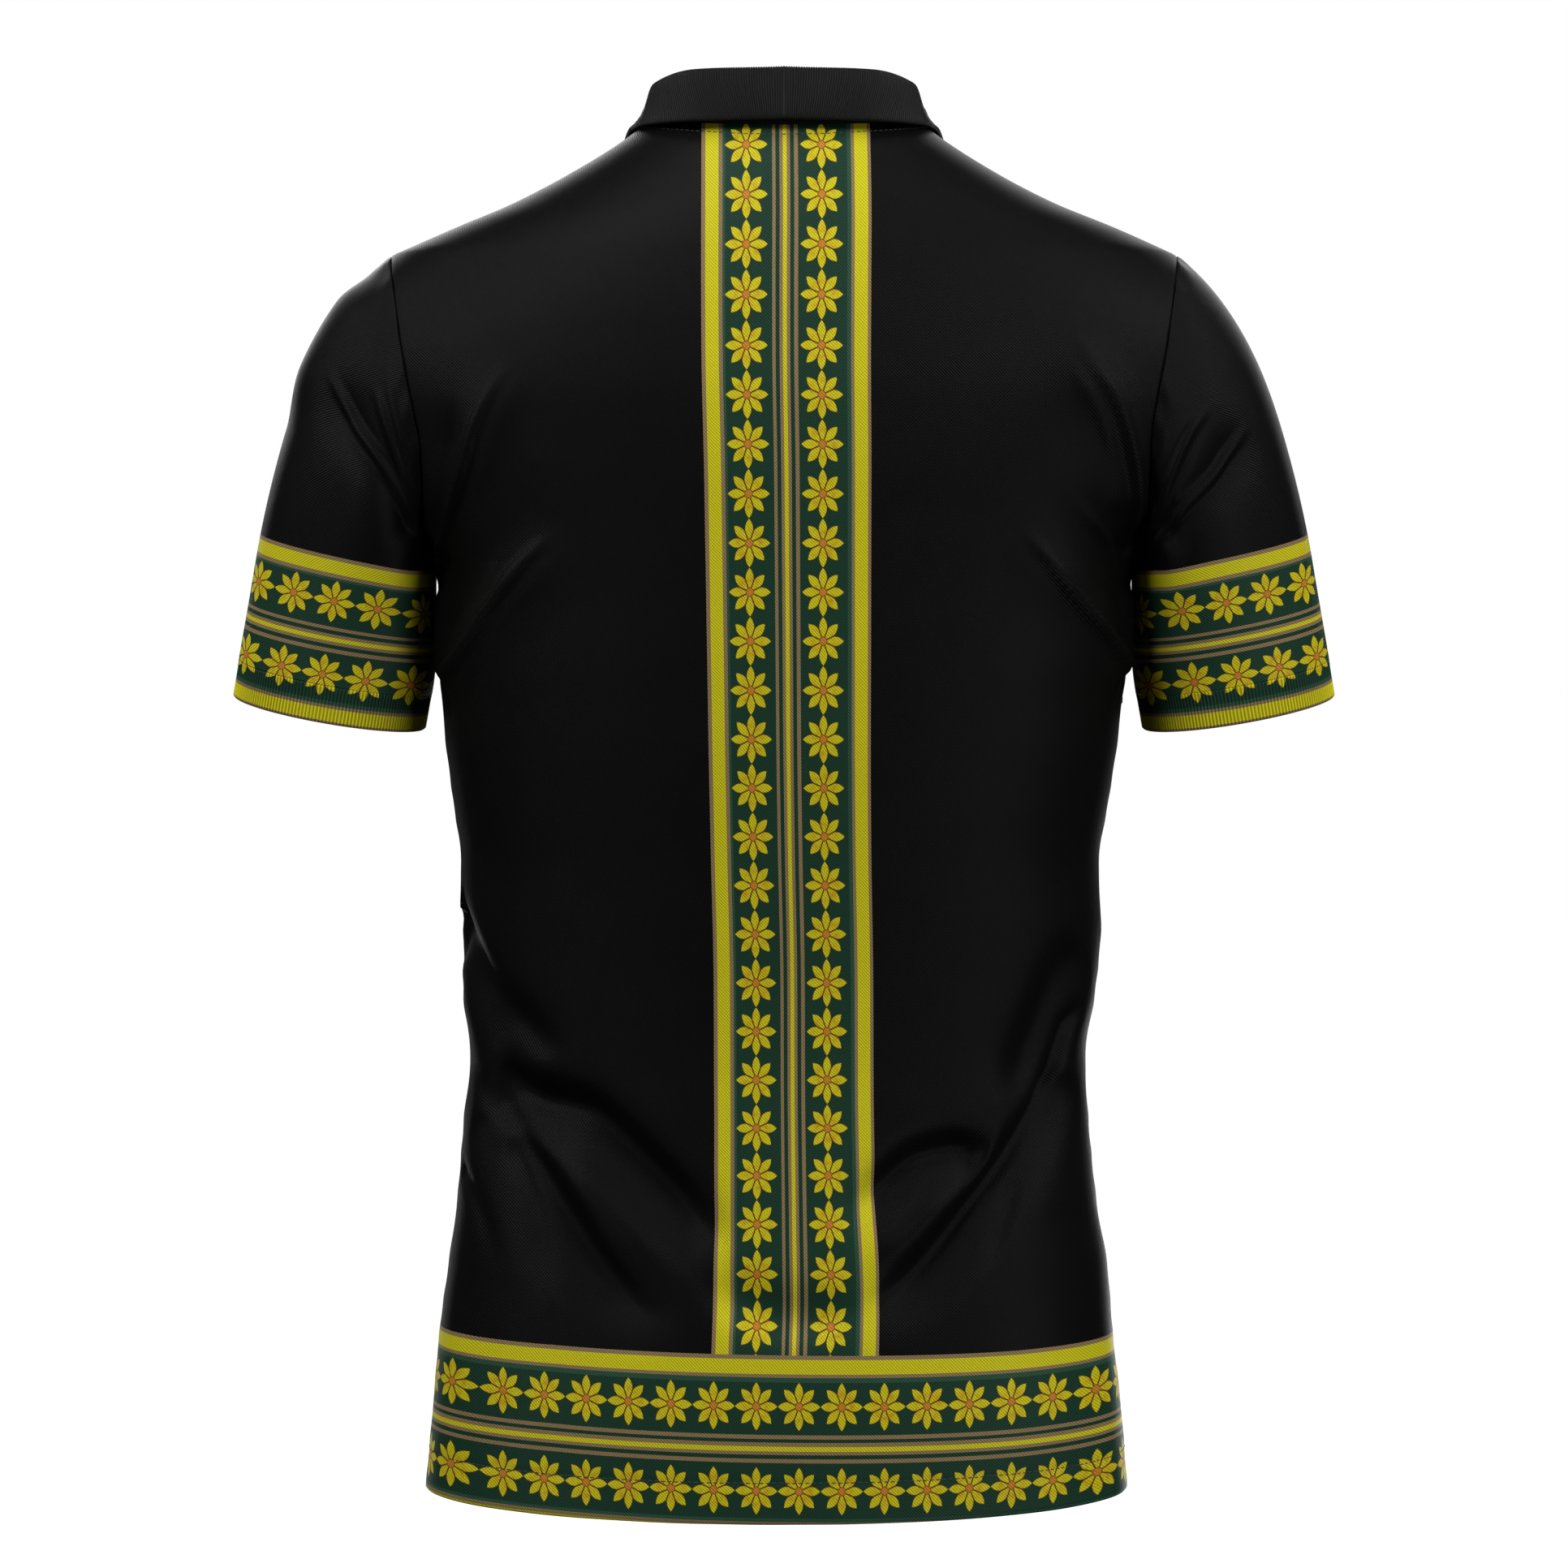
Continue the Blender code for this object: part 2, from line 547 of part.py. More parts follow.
def make_sleeve(back, front, hand):
    """A sleeve's sheet, parted from both panels at the armhole."""
    up, down, edge, inside = armhole_loop(hand)
    loop = np.concatenate((back.points[up, edge], front.points[down, edge]))
    near = np.concatenate((back.points[up, inside], front.points[down, inside]))
    lean = np.concatenate((back.lean[up, edge], front.lean[down, edge]))
    near[0] = (back.points[ARM_ROW - 1, edge] + front.points[ARM_ROW - 1, edge]) / 2
    near[ARMHOLE_ROWS] = (back.points[TOP_ROW, inside] + front.points[TOP_ROW, inside]) / 2
    mirror = np.array((hand, 1.0, 1.0))
    turn = np.arange(len(loop)) * np.pi / ARMHOLE_ROWS
    points = sleeve_points(loop * mirror, turn)
    sleeve = Sheet(points, closed=True)

    def sleeve_ground(across, height, face):
        """Points of the sleeve nearest to a fold's line as seen from outside."""
        flat = points[:, np.sin(turn) * face > 0].reshape(-1, 3)
        seen = np.stack((np.abs(across), height), -1)
        apart = ((flat[None, :, (0, 2)] - seen[:, None, :]) ** 2).sum(-1)
        depth = flat[apart.argmin(axis=1), 1]
        return np.stack((seen[:, 0], depth, height), -1)

    offset = fold_offsets(points, SLEEVE_FOLDS[hand], sleeve_ground)
    fade = ease(np.linspace(0, 6, SLEEVE_ROWS + 1))[:, None]
    fade = fade * ease(np.linspace(6, 0, SLEEVE_ROWS + 1))[:, None]
    sleeve.points = (points + sleeve.normals * (offset * fade)[..., None]) * mirror
    sleeve.refresh()
    apart, near_lean, far_lean = part_seam(loop, near, sleeve.points[1], lean, sleeve.normals[0])
    sleeve.shift[0] = -apart * GAP / 2
    sleeve.lean[0] = far_lean
    count = len(up)
    back.shift[up, edge] += apart[:count] * GAP / 2
    back.lean[up, edge] = near_lean[:count]
    ends = np.concatenate(([0], np.arange(len(loop) - 1, count - 1, -1), [count - 1]))
    rows = np.concatenate(([ARM_ROW], down[::-1], [TOP_ROW]))
    front.shift[rows, edge] += apart[ends] * GAP / 2
    front.lean[rows, edge] = near_lean[ends]
    axis = -unit(np.cross(CUFF_OUT, CUFF_BACK)) * mirror
    last = sleeve.normals[-1]
    sleeve.lean[-1] = unit(last - (last @ axis)[:, None] * axis)
    return sleeve, axis


def make_cuff(sleeve, axis):
    """The rib band that carries on from the sleeve's last ring."""
    ring = sleeve.points[-1] - sleeve.lean[-1] * CUFF_STEP
    along = np.linspace(GAP, CUFF_DEPTH, CUFF_ROWS + 1)[:, None, None]
    cuff = Sheet(ring + along * axis, closed=True)
    cuff.normals = np.broadcast_to(sleeve.lean[-1], cuff.points.shape).copy()
    cuff.lean = cuff.normals.copy()
    return cuff


def collar_seam(back, front):
    """Points, leans and upward directions along the neckline, left to right."""
    half = SIDE_CELLS + 1
    rows = []
    for sheet, columns in (
        (front, np.arange(half, NECK_LEFT)),
        (back, np.arange(NECK_LEFT, NECK_RIGHT - 1, -1)),
        (front, np.arange(NECK_RIGHT + 1, half - 1)),
    ):
        points = sheet.points[TOP_ROW, columns]
        rise = unit(points - sheet.points[TOP_ROW - 1, columns])
        rows.append(np.concatenate((points, sheet.lean[TOP_ROW, columns], rise), axis=1))
    seam = np.concatenate(rows)
    middle = front.points[TOP_ROW, SIDE_CELLS]
    rise = unit(middle - front.points[TOP_ROW - 1, SIDE_CELLS])
    middle = np.concatenate((middle, front.lean[TOP_ROW, SIDE_CELLS], rise))
    share = COLLAR_END / PLACKET_HALF
    start = middle + (seam[0] - middle) * share
    finish = middle + (seam[-1] - middle) * share
    seam = np.concatenate((start[None], seam, finish[None]))
    count = 2 * len(seam) - 1
    fine = np.arange(count) / 2
    seam = np.stack([np.interp(fine, np.arange(len(seam)), part) for part in seam.T], -1)
    return seam[:, 0:3], unit(seam[:, 3:6]), unit(seam[:, 6:9])


def bezier(points, share):
    """Points of a cubic curve, for rows of control points."""
    a, b, c, d = points
    share = share[:, None, None]
    rest = 1 - share
    return a * rest ** 3 + 3 * b * rest ** 2 * share + 3 * c * rest * share ** 2 + d * share ** 3


def make_collar(back, front):
    """The collar: a stand up from the neckline, a fold, and a fall outside it."""
    seam, lean, rise = collar_seam(back, front)
    seam = seam + rise * GAP
    run = run_length(seam)
    place = np.abs(2 * run / run[-1] - 1)
    hand = np.where(seam[:, 0] >= 0, 1.0, -1.0)
    out = unit(np.stack((seam[:, 0] / 52.0, (seam[:, 1] + 1.0) / 64.0, 0 * place), -1))
    upward = np.array((0.0, 0.0, 1.0))
    stand = read(COLLAR, "height", place, "place")[:, None]
    fold = seam + upward * stand - out * read(COLLAR, "lean", place, "place")[:, None]
    names = ("edge_x", "edge_y", "edge_z")
    edge = np.stack([read(COLLAR, name, place, "place") for name in names], -1)
    edge[:, 0] *= hand
    bulge = out * read(COLLAR, "bulge", place, "place")[:, None]
    roll = out * COLLAR_ROLL
    inside = (seam, seam + rise * stand * 0.45, fold - roll * 0.7, fold)
    outside = (fold, fold + roll, edge + (fold - edge) * 0.4 + bulge, edge)
    low = bezier(inside, np.linspace(0, 1, STAND_ROWS + 1))
    high = bezier(outside, np.linspace(0, 1, FALL_ROWS + 1)[1:])
    collar = Sheet(np.concatenate((low, high)))
    if (collar.normals[0] * lean).sum() < 0:
        collar.normals = -collar.normals
        collar.lean = -collar.lean
    collar.lean[0] = lean
    collar.normals[0] = lean
    return collar


def strip_sheet(half_width, low_shift):
    """A placket strip's grid on the front, from the slit's end to the neckline."""
    across = np.linspace(-half_width, half_width, 4)
    rise = np.concatenate(([0.0], rise_shares()))[PLACKET_ROW:, None]
    height = ARMPIT + (neckline(across, FRONT) - ARMPIT) * rise
    height[0] += low_shift
    sheet = Sheet(on_panel(across + 0 * height, height, FRONT))
    offset = fold_offsets(sheet.points, BODY_FOLDS, body_ground)
    sheet.points = sheet.points + sheet.normals * offset[..., None]
    sheet.refresh()
    return sheet


def paint(obj, look):
    """Gives an object its own plain material."""
    material = bpy.data.materials.new(f"{obj.name} {look.name}")
    material.use_nodes = True
    shader = material.node_tree.nodes["Principled BSDF"]
    shader.inputs["Base Color"].default_value = (*look.colour, 1.0)
    shader.inputs["Roughness"].default_value = look.roughness
    shader.inputs["Metallic"].default_value = 0.0
    obj.data.materials.append(material)


def add_object(name, mesh, look):
    """Puts a mesh in the scene under its node's name."""
    mesh.shade_smooth()
    obj = bpy.data.objects.new(name, mesh)
    bpy.context.scene.collection.objects.link(obj)
    paint(obj, look)
    return obj


def add_wall(name, outer, inner, look, closed=False, cells=None):
    """A closed wall between two grids of points, with a rim at each free edge."""
    rows, columns = outer.shape[:2]
    spans = columns if closed else columns - 1
    if cells is None:
        cells = np.ones((rows - 1, spans), bool)
    faces = []
    for i, j in np.argwhere(cells):
        k = (j + 1) % columns
        faces.append((i * columns + j, i * columns + k, (i + 1) * columns + k, (i + 1) * columns + j))
    edges = {(face[n], face[(n + 1) % 4]) for face in faces for n in range(4)}
    size = rows * columns
    walls = list(faces)
    walls += [tuple(size + v for v in reversed(face)) for face in faces]
    walls += [(b, a, size + a, size + b) for a, b in sorted(edges) if (b, a) not in edges]
    used = sorted({v for face in walls for v in face})
    place = {v: n for n, v in enumerate(used)}
    points = np.concatenate((outer.reshape(-1, 3), inner.reshape(-1, 3)))[used]
    points = (points - np.array((0.0, 0.0, NECK_POINT))) * CM
    mesh = bpy.data.meshes.new(name)
    mesh.from_pydata(points.tolist(), [], [tuple(place[v] for v in face) for face in walls])
    work = bmesh.new()
    work.from_mesh(mesh)
    bmesh.ops.recalc_face_normals(work, faces=work.faces)
    work.to_mesh(mesh)
    work.free()
    return add_object(name, mesh, look)


def add_panel(name, sheet, slit):
    """A body panel, double at its turned-up hem, with the placket's slit if it has one."""
    heights = row_heights()
    thickness = np.full(sheet.points.shape[:2] + (1,), CLOTH)
    thickness[:ARM_ROW + 1][heights <= HEM_TURN] = HEM_CLOTH
    outer, inner = sheet.wall(thickness)
    cells = np.ones((TOP_ROW, LAST_COLUMN), bool)
    if slit:
        cells[ARM_ROW + PLACKET_ROW:, SIDE_CELLS - 1:SIDE_CELLS + 1] = False
    add_wall(name, outer, inner, KNIT, cells=cells)


def add_placket():
    """Both strips of the placket: one in the slit, one over it."""
    under = strip_sheet(PLACKET_HALF - GAP, GAP)
    add_wall("placket_under", *under.wall(CLOTH), KNIT)
    over = strip_sheet(PLACKET_HALF + OVERLAP, -3 * OVERLAP)
    add_wall("placket_over", *over.wall(CLOTH, lift=CLOTH + GAP), KNIT)


def button_mesh():
    """A turned button: flat behind, with a raised rim round a dished middle."""
    radius, thick = BUTTON_RADIUS, BUTTON_THICKNESS
    profile = (
        (0.0, 0.0),
        (0.85 * radius, 0.0),
        (radius, 0.35 * thick),
        (radius, 0.75 * thick),
        (0.88 * radius, thick),
        (0.72 * radius, thick),
        (0.55 * radius, 0.62 * thick),
        (0.0, 0.62 * thick),
    )
    work = bmesh.new()
    line = [work.verts.new((x * CM, 0.0, z * CM)) for x, z in profile]
    edges = [work.edges.new(pair) for pair in zip(line, line[1:])]
    bmesh.ops.spin(work, geom=line + edges, axis=(0, 0, 1), cent=(0, 0, 0),
                   angle=2 * np.pi, steps=18, use_merge=True)
    bmesh.ops.remove_doubles(work, verts=work.verts, dist=1e-6)
    bmesh.ops.recalc_face_normals(work, faces=work.faces)
    mesh = bpy.data.meshes.new("button")
    work.to_mesh(mesh)
    work.free()
    return mesh


def add_buttons():
    """The fastened buttons down the middle of the placket."""
    for number, height in enumerate(BUTTON_HEIGHTS, start=1):
        low, seat, high = on_panel(0.0, height + np.array((-0.5, 0.0, 0.5)), FRONT)
        outward = np.cross((1.0, 0.0, 0.0), high - low)
        outward = Vector(outward).normalized()
        obj = add_object(f"button_{number}", button_mesh(), BUTTON)
        place = Vector(seat) - Vector((0.0, 0.0, NECK_POINT)) + outward * (CLOTH + 2 * GAP)
        obj.location = place * CM
        obj.rotation_mode = "QUATERNION"
        obj.rotation_quaternion = outward.to_track_quat("Z", "Y")


def main():
    """Clears the scene and makes the shirt."""
    for obj in list(bpy.data.objects):
        bpy.data.objects.remove(obj)
    back, front = make_panels()
    for hand, side in ((LEFT, "left"), (RIGHT, "right")):
        sleeve, axis = make_sleeve(back, front, hand)
        add_wall(f"sleeve_{side}", *sleeve.wall(CLOTH), KNIT, closed=True)
        cuff = make_cuff(sleeve, axis)
        add_wall(f"cuff_{side}", *cuff.wall(RIB), RIB_KNIT, closed=True)
    add_wall("collar", *make_collar(back, front).wall(RIB), RIB_KNIT)
    add_panel("back", back, slit=False)
    add_panel("front", front, slit=True)
    add_placket()
    add_buttons()


main()
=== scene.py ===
"""Looks of the polo shirt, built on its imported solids.

Lengths are in centimetres and heights run up from the hem, as in the part's source,
until a mesh is made in metres. The front faces -Y and the wearer's left is +X.
"""
from collections import namedtuple

import bpy
import numpy as np
from mathutils import Matrix, Vector


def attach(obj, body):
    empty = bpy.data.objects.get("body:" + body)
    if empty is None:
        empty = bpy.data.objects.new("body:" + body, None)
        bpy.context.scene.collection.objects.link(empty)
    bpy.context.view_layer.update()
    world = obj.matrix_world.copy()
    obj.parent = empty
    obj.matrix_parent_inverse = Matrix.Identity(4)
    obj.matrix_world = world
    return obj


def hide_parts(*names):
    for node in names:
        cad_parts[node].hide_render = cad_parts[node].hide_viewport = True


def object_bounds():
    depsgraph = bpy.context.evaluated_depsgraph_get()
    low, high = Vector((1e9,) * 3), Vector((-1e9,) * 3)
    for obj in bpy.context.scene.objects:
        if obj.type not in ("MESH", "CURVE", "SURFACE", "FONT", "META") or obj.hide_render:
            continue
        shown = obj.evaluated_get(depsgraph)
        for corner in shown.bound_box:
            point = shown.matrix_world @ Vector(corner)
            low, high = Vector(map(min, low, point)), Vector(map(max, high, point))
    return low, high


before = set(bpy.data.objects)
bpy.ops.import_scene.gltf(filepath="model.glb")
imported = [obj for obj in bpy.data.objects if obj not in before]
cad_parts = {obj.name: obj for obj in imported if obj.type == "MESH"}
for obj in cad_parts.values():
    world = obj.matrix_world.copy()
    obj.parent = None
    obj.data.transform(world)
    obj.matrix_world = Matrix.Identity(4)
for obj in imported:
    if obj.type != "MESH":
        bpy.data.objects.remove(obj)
cad_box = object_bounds()

CM = 0.01
BACK, FRONT = 1.0, -1.0
LEFT, RIGHT = 1.0, -1.0

# Walls and the gap between pieces at a seam
CLOTH = 0.15
HEM_CLOTH = 0.3
RIB = 0.2
GAP = 0.04

# Heights above the hem
HEM_TURN = 2.1
HEM_DROP, SIDE_RISE, DROP_OVER = 0.42, 0.2, 22.0
ARMPIT = 48.1
SHOULDER_TIP = 64.4
NECK_POINT = 71.15

# Neck opening
NECK_SIDE = 7.5
BACK_NECK, BACK_NECK_RISE, BACK_NECK_CURVE = 70.5, 0.65, 2.0
FRONT_NECK, FRONT_NECK_RISE, FRONT_NECK_CURVE = 63.7, 7.45, 2.2

# Placket and buttons
PLACKET_HALF = 1.5
OVERLAP = 0.1
# How close to its lower end a strip takes up the difference in length
STRIP_END_POWER = 8
BUTTON_HEIGHTS = (61.9, 57.4, 52.9)
BUTTON_RADIUS = 0.57
BUTTON_THICKNESS = 0.26

# Fine grids: cells of a half panel across, and rows
PLACKET_CELLS = 5
NECK_CELLS = 20
SHOULDER_CELLS = 46
SIDE_CELLS = NECK_CELLS + SHOULDER_CELLS
HALF = PLACKET_CELLS + SIDE_CELLS
LAST_COLUMN = 2 * HALF
ARMHOLE_ROWS = 70
PLACKET_ROW = 15
SLEEVE_ROWS = 126
CUFF_ROWS = 9
RIB_STEPS = 5
CUFF_RIBS = 172
COLLAR_RIBS = 372
STAND_ROWS, FALL_ROWS = 7, 13
STRIP_CELLS = 12
HEM_ROWS = (0.0, 0.3, 0.6, 0.9, 1.2, 1.5, 1.75, 1.92, 2.02, HEM_TURN, 2.18, 2.28, 2.45, 2.7)
BODY_ROWS = np.linspace(3.0, ARMPIT, 151)
# Points on a curve that is divided by its length
FINE = 2000

# Edge of a wall: how far inside it the first row of points lies, and how much of
# the wall's thickness it is rounded off by
EDGE, EDGE_ROUND = 0.09, 0.3
# A wall's most slant at a mitred edge, and from where to where on the way from a
# flat seam to a square one the walls go from a shared mitre to ends of their own
MOST_SLANT = 0.6
MITRE_FROM, MITRE_OVER = 0.4, 0.8
# Least share of a step's length that counts across a panel's cut and a sleeve's
PANEL_SHARE, SLEEVE_SHARE = 0.7, 0.55

# Half-widths to the wearer's left and right, depths behind and before the side
# seams, and the power of the oval, ring by ring from hem to armpit
Ring = namedtuple("Ring", "height left right back front power")
BODY = (
    Ring(0.0, 18.7, 17.95, 10.7, 10.3, 2.5),
    Ring(4.5, 18.3, 17.6, 10.8, 10.4, 2.5),
    Ring(8.0, 18.0, 17.2, 10.7, 10.4, 2.45),
    Ring(11.5, 17.55, 16.9, 10.4, 10.3, 2.4),
    Ring(15.0, 17.1, 16.3, 10.1, 10.2, 2.4),
    Ring(20.0, 16.7, 15.85, 9.7, 10.1, 2.35),
    Ring(22.4, 16.4, 15.75, 9.6, 10.1, 2.35),
    Ring(26.0, 16.8, 16.3, 9.7, 10.3, 2.35),
    Ring(29.5, 16.95, 16.6, 10.0, 10.5, 2.3),
    Ring(32.5, 16.85, 16.45, 10.3, 10.7, 2.3),
    Ring(36.0, 17.3, 16.95, 10.7, 10.9, 2.3),
    Ring(39.0, 17.7, 17.4, 11.0, 11.0, 2.3),
    Ring(41.2, 17.9, 17.65, 11.15, 11.1, 2.3),
    Ring(42.6, 18.0, 17.85, 11.25, 11.15, 2.3),
    Ring(45.0, 18.0, 17.95, 11.35, 11.2, 2.3),
    Ring(47.0, 18.05, 18.05, 11.4, 11.2, 2.3),
    Ring(ARMPIT, 18.3, 18.3, 11.4, 11.2, 2.3),
)

# Depths and power above the armpit
Yoke = namedtuple("Yoke", "height back front power")
YOKE = (
    Yoke(ARMPIT, 11.4, 11.2, 2.3),
    Yoke(52.0, 11.5, 11.2, 2.25),
    Yoke(56.0, 11.3, 10.8, 2.15),
    Yoke(60.0, 10.6, 9.8, 2.05),
    Yoke(63.7, 9.6, 8.4, 2.0),
    Yoke(67.0, 8.3, 7.4, 2.0),
    Yoke(69.5, 7.0, 6.8, 2.0),
    Yoke(70.5, 6.3, 6.6, 2.0),
    Yoke(NECK_POINT, 5.8, 6.4, 2.0),
)

# Distance of the shoulder seam and of the armhole seam from the middle
Reach = namedtuple("Reach", "height reach")
SHOULDER = (
    Reach(SHOULDER_TIP, 20.5),
    Reach(65.82, 17.3),
    Reach(67.05, 14.3),
    Reach(68.6, 11.3),
    Reach(70.72, 8.0),
    Reach(NECK_POINT, NECK_SIDE),
)
ARMHOLE = (
    Reach(ARMPIT, 18.3),
    Reach(53.9, 18.55),
    Reach(56.8, 19.1),
    Reach(59.1, 19.55),
    Reach(62.0, 20.05),
    Reach(SHOULDER_TIP, 20.5),
)
ARMHOLE_DEPTH = 7.2

# Height over which the panels' depth is evened out round the armpit's height
EVEN_OVER = 4.0
EVEN_STEPS = np.linspace(-1, 1, 7)

# Sleeve: where it ends, how that end is tilted, and how it leaves the armhole
CUFF_CENTRE = np.array((23.9, -1.2, 40.6))
CUFF_HALF_WIDTH, CUFF_HALF_DEPTH = 5.15, 5.5
CUFF_OUT = np.array((0.984, 0.0, 0.178))
CUFF_BACK = np.array((0.0, 0.993, -0.12))
CUFF_DEPTH = 1.95
# The cuff starts just below its seam, and steps in and gets its ribs over this length
CUFF_START, CUFF_STEP, CUFF_STEP_OVER = 0.01, 0.05, 0.5
CUFF_RELIEF, COLLAR_RELIEF = 0.03, 0.025
Leave = namedtuple("Leave", "direction length")
LEAVE_TOP = Leave(np.array((0.82, 0.0, -0.57)), 20.0)
LEAVE_SIDE = Leave(np.array((0.6, 0.0, -0.8)), 15.0)
LEAVE_UNDER = Leave(np.array((-0.06, 0.0, -1.0)), 8.0)

# Collar, from the middle of the back (place 0) to the end in front (place 1):
# how far the fold stands above the seam and leans in, and its free edge
Station = namedtuple("Station", "place height lean edge_x edge_y edge_z bulge")
COLLAR = (
    Station(0.0, 2.85, 0.55, 0.0, 6.98, 70.67, 0.25),
    Station(0.2, 2.6, 0.6, 4.0, 6.18, 70.67, 0.2),
    Station(0.36, 2.12, 0.9, 7.2, 3.2, 70.8, -0.15),
    Station(0.435, 2.2, 1.0, 8.0, 0.0, 70.95, -0.6),
    Station(0.6, 1.9, 0.9, 8.6, -4.5, 69.3, 0.1),
    Station(0.8, 2.0, 0.75, 8.1, -7.9, 65.2, 0.3),
    Station(0.92, 2.1, 0.7, 6.2, -9.6, 61.9, 0.35),
    Station(1.0, 2.1, 0.6, 4.3, -10.5, 60.0, 0.35),
)
COLLAR_END = 0.25
COLLAR_ROLL = 0.5
# How far the stand follows the seam and bends into the fold, and where the fall bulges
STAND_FOLLOWS, STAND_BENDS, FALL_BULGES = 0.45, 0.7, 0.4
# The oval round which the collar stands: its middle and its half-axes squared
NECK_OVAL_BACK, NECK_OVAL_X, NECK_OVAL_Y = 1.0, 52.0, 64.0

# Folds of the cloth: how far the surface moves out (below zero: in), how wide
# the fold is above and below its line, the shares of its length over which it
# fades at its start and finish, how sharply it is flanked by the opposite bend,
# and the line itself as (across, height)
Fold = namedtuple("Fold", "name face depth above below start finish flank line")
# How firmly the deepest of the folds at a place wins: even, and higher is firmer
BLEND = 4
# Steps of a fold's line for each point given, and the widths over which it reaches
LINE_STEPS, FOLD_REACH = 8, 3
# How sharply a fold's line keeps to a sleeve's nearest points, and over which share
# of a sleeve's length, one in this many, its folds fade at each end
SLEEVE_NEAREST, SLEEVE_FADE = 0.1, 6
BODY_FOLDS = (
    Fold("left side drop", BACK, -0.8, 1.5, 1.7, 0.1, 0.3, 0,
         ((17.2, 30.4), (15.8, 26.2), (13.8, 24.0), (11.5, 22.0))),
    Fold("left waist drop", BACK, -1.05, 1.7, 1.5, 0.1, 0.25, 0,
         ((15.6, 21.7), (13.2, 20.1), (10.8, 19.6), (8.4, 17.7), (6.0, 15.4), (4.2, 13.6), (1.8, 12.2))),
    Fold("left hip drop", BACK, -0.65, 1.2, 1.4, 0.12, 0.3, 0,
         ((14.9, 19.3), (13.4, 17.7), (11.6, 15.1), (10.0, 12.7), (7.5, 10.2), (5.0, 9.2))),
    Fold("left seam drop", BACK, -0.35, 1.0, 1.2, 0.1, 0.3, 0,
         ((15.7, 20.5), (14.4, 17.5), (12.8, 14.1), (11.3, 10.4))),
    Fold("right side drop", BACK, -0.55, 1.3, 1.6, 0.15, 0.35, 0,
         ((-15.6, 28.5), (-14.1, 26.1), (-12.6, 22.5), (-11.4, 20.1))),
    Fold("right hip drop", BACK, -0.8, 1.2, 1.5, 0.1, 0.25, 0,
         ((-14.6, 22.6), (-13.7, 20.1), (-12.4, 18.2), (-11.5, 17.0), (-9.7, 14.9), (-7.6, 12.5),
          (-5.2, 10.6), (-3.0, 9.6))),
    Fold("right swag", BACK, -0.7, 1.5, 1.5, 0.12, 0.4, 0,
         ((-10.6, 17.1), (-8.8, 17.7), (-7.1, 17.3), (-5.4, 16.0), (-2.6, 13.8))),
    Fold("left underarm ridge", BACK, 0.5, 1.4, 1.4, 0.35, 0.1, 0,
         ((13.1, 58.2), (14.5, 56.3), (16.0, 53.3), (17.1, 51.3), (17.9, 49.0))),
    Fold("left lower ridge", BACK, 0.6, 1.5, 1.5, 0.4, 0.1, 0,
         ((10.7, 49.7), (13.2, 47.4), (15.7, 44.6), (17.6, 42.4))),
    Fold("right underarm ridge", BACK, 0.5, 1.4, 1.4, 0.35, 0.1, 0,
         ((-13.6, 59.8), (-15.3, 57.7), (-16.9, 55.4), (-17.8, 52.9), (-18.0, 49.8))),
    Fold("right lower ridge", BACK, 0.6, 1.5, 1.5, 0.4, 0.1, 0,
         ((-11.3, 50.2), (-13.7, 47.7), (-16.0, 45.1), (-17.6, 42.8))),
    Fold("left side swell", BACK, 0.42, 1.4, 1.4, 0.25, 0.12, 0,
         ((17.8, 47.4), (17.7, 46.0), (17.7, 44.2), (17.7, 42.0))),
    Fold("right side swell", BACK, 0.46, 1.4, 1.4, 0.25, 0.12, 0,
         ((-17.8, 47.4), (-17.7, 46.0), (-17.6, 44.5), (-17.6, 42.3))),
    Fold("left front drop", FRONT, -0.9, 2.0, 1.7, 0.1, 0.35, 0,
         ((16.4, 27.6), (13.6, 23.9), (10.2, 20.4), (7.4, 17.6))),
    Fold("left front hem drop", FRONT, -0.7, 1.6, 1.5, 0.1, 0.35, 0,
         ((15.7, 21.6), (13.0, 17.0), (10.4, 12.9), (9.0, 10.2))),
    Fold("right front drop", FRONT, -0.8, 1.9, 1.6, 0.1, 0.35, 0,
         ((-16.2, 28.6), (-13.2, 25.4), (-10.6, 21.3), (-8.8, 17.4))),
    Fold("right front hem drop", FRONT, -0.8, 1.6, 1.5, 0.1, 0.35, 0,
         ((-15.0, 22.6), (-11.7, 17.6), (-8.2, 13.9), (-5.2, 11.8))),
    Fold("left chest ridge", FRONT, 0.5, 1.4, 1.4, 0.4, 0.1, 0,
         ((11.8, 55.0), (14.2, 52.8), (16.2, 50.6), (17.7, 48.9))),
    Fold("left rib ridge", FRONT, 0.5, 1.5, 1.5, 0.4, 0.1, 0,
         ((9.6, 47.9), (12.9, 46.4), (15.6, 44.3), (17.5, 41.8))),
    Fold("right chest ridge", FRONT, 0.5, 1.4, 1.4, 0.4, 0.1, 0,
         ((-12.6, 56.6), (-14.9, 54.0), (-16.8, 51.2), (-17.8, 49.1))),
    Fold("right rib ridge", FRONT, 0.5, 1.5, 1.5, 0.4, 0.1, 0,
         ((-10.3, 46.9), (-13.3, 45.1), (-16.1, 43.0), (-17.5, 41.0))),
)
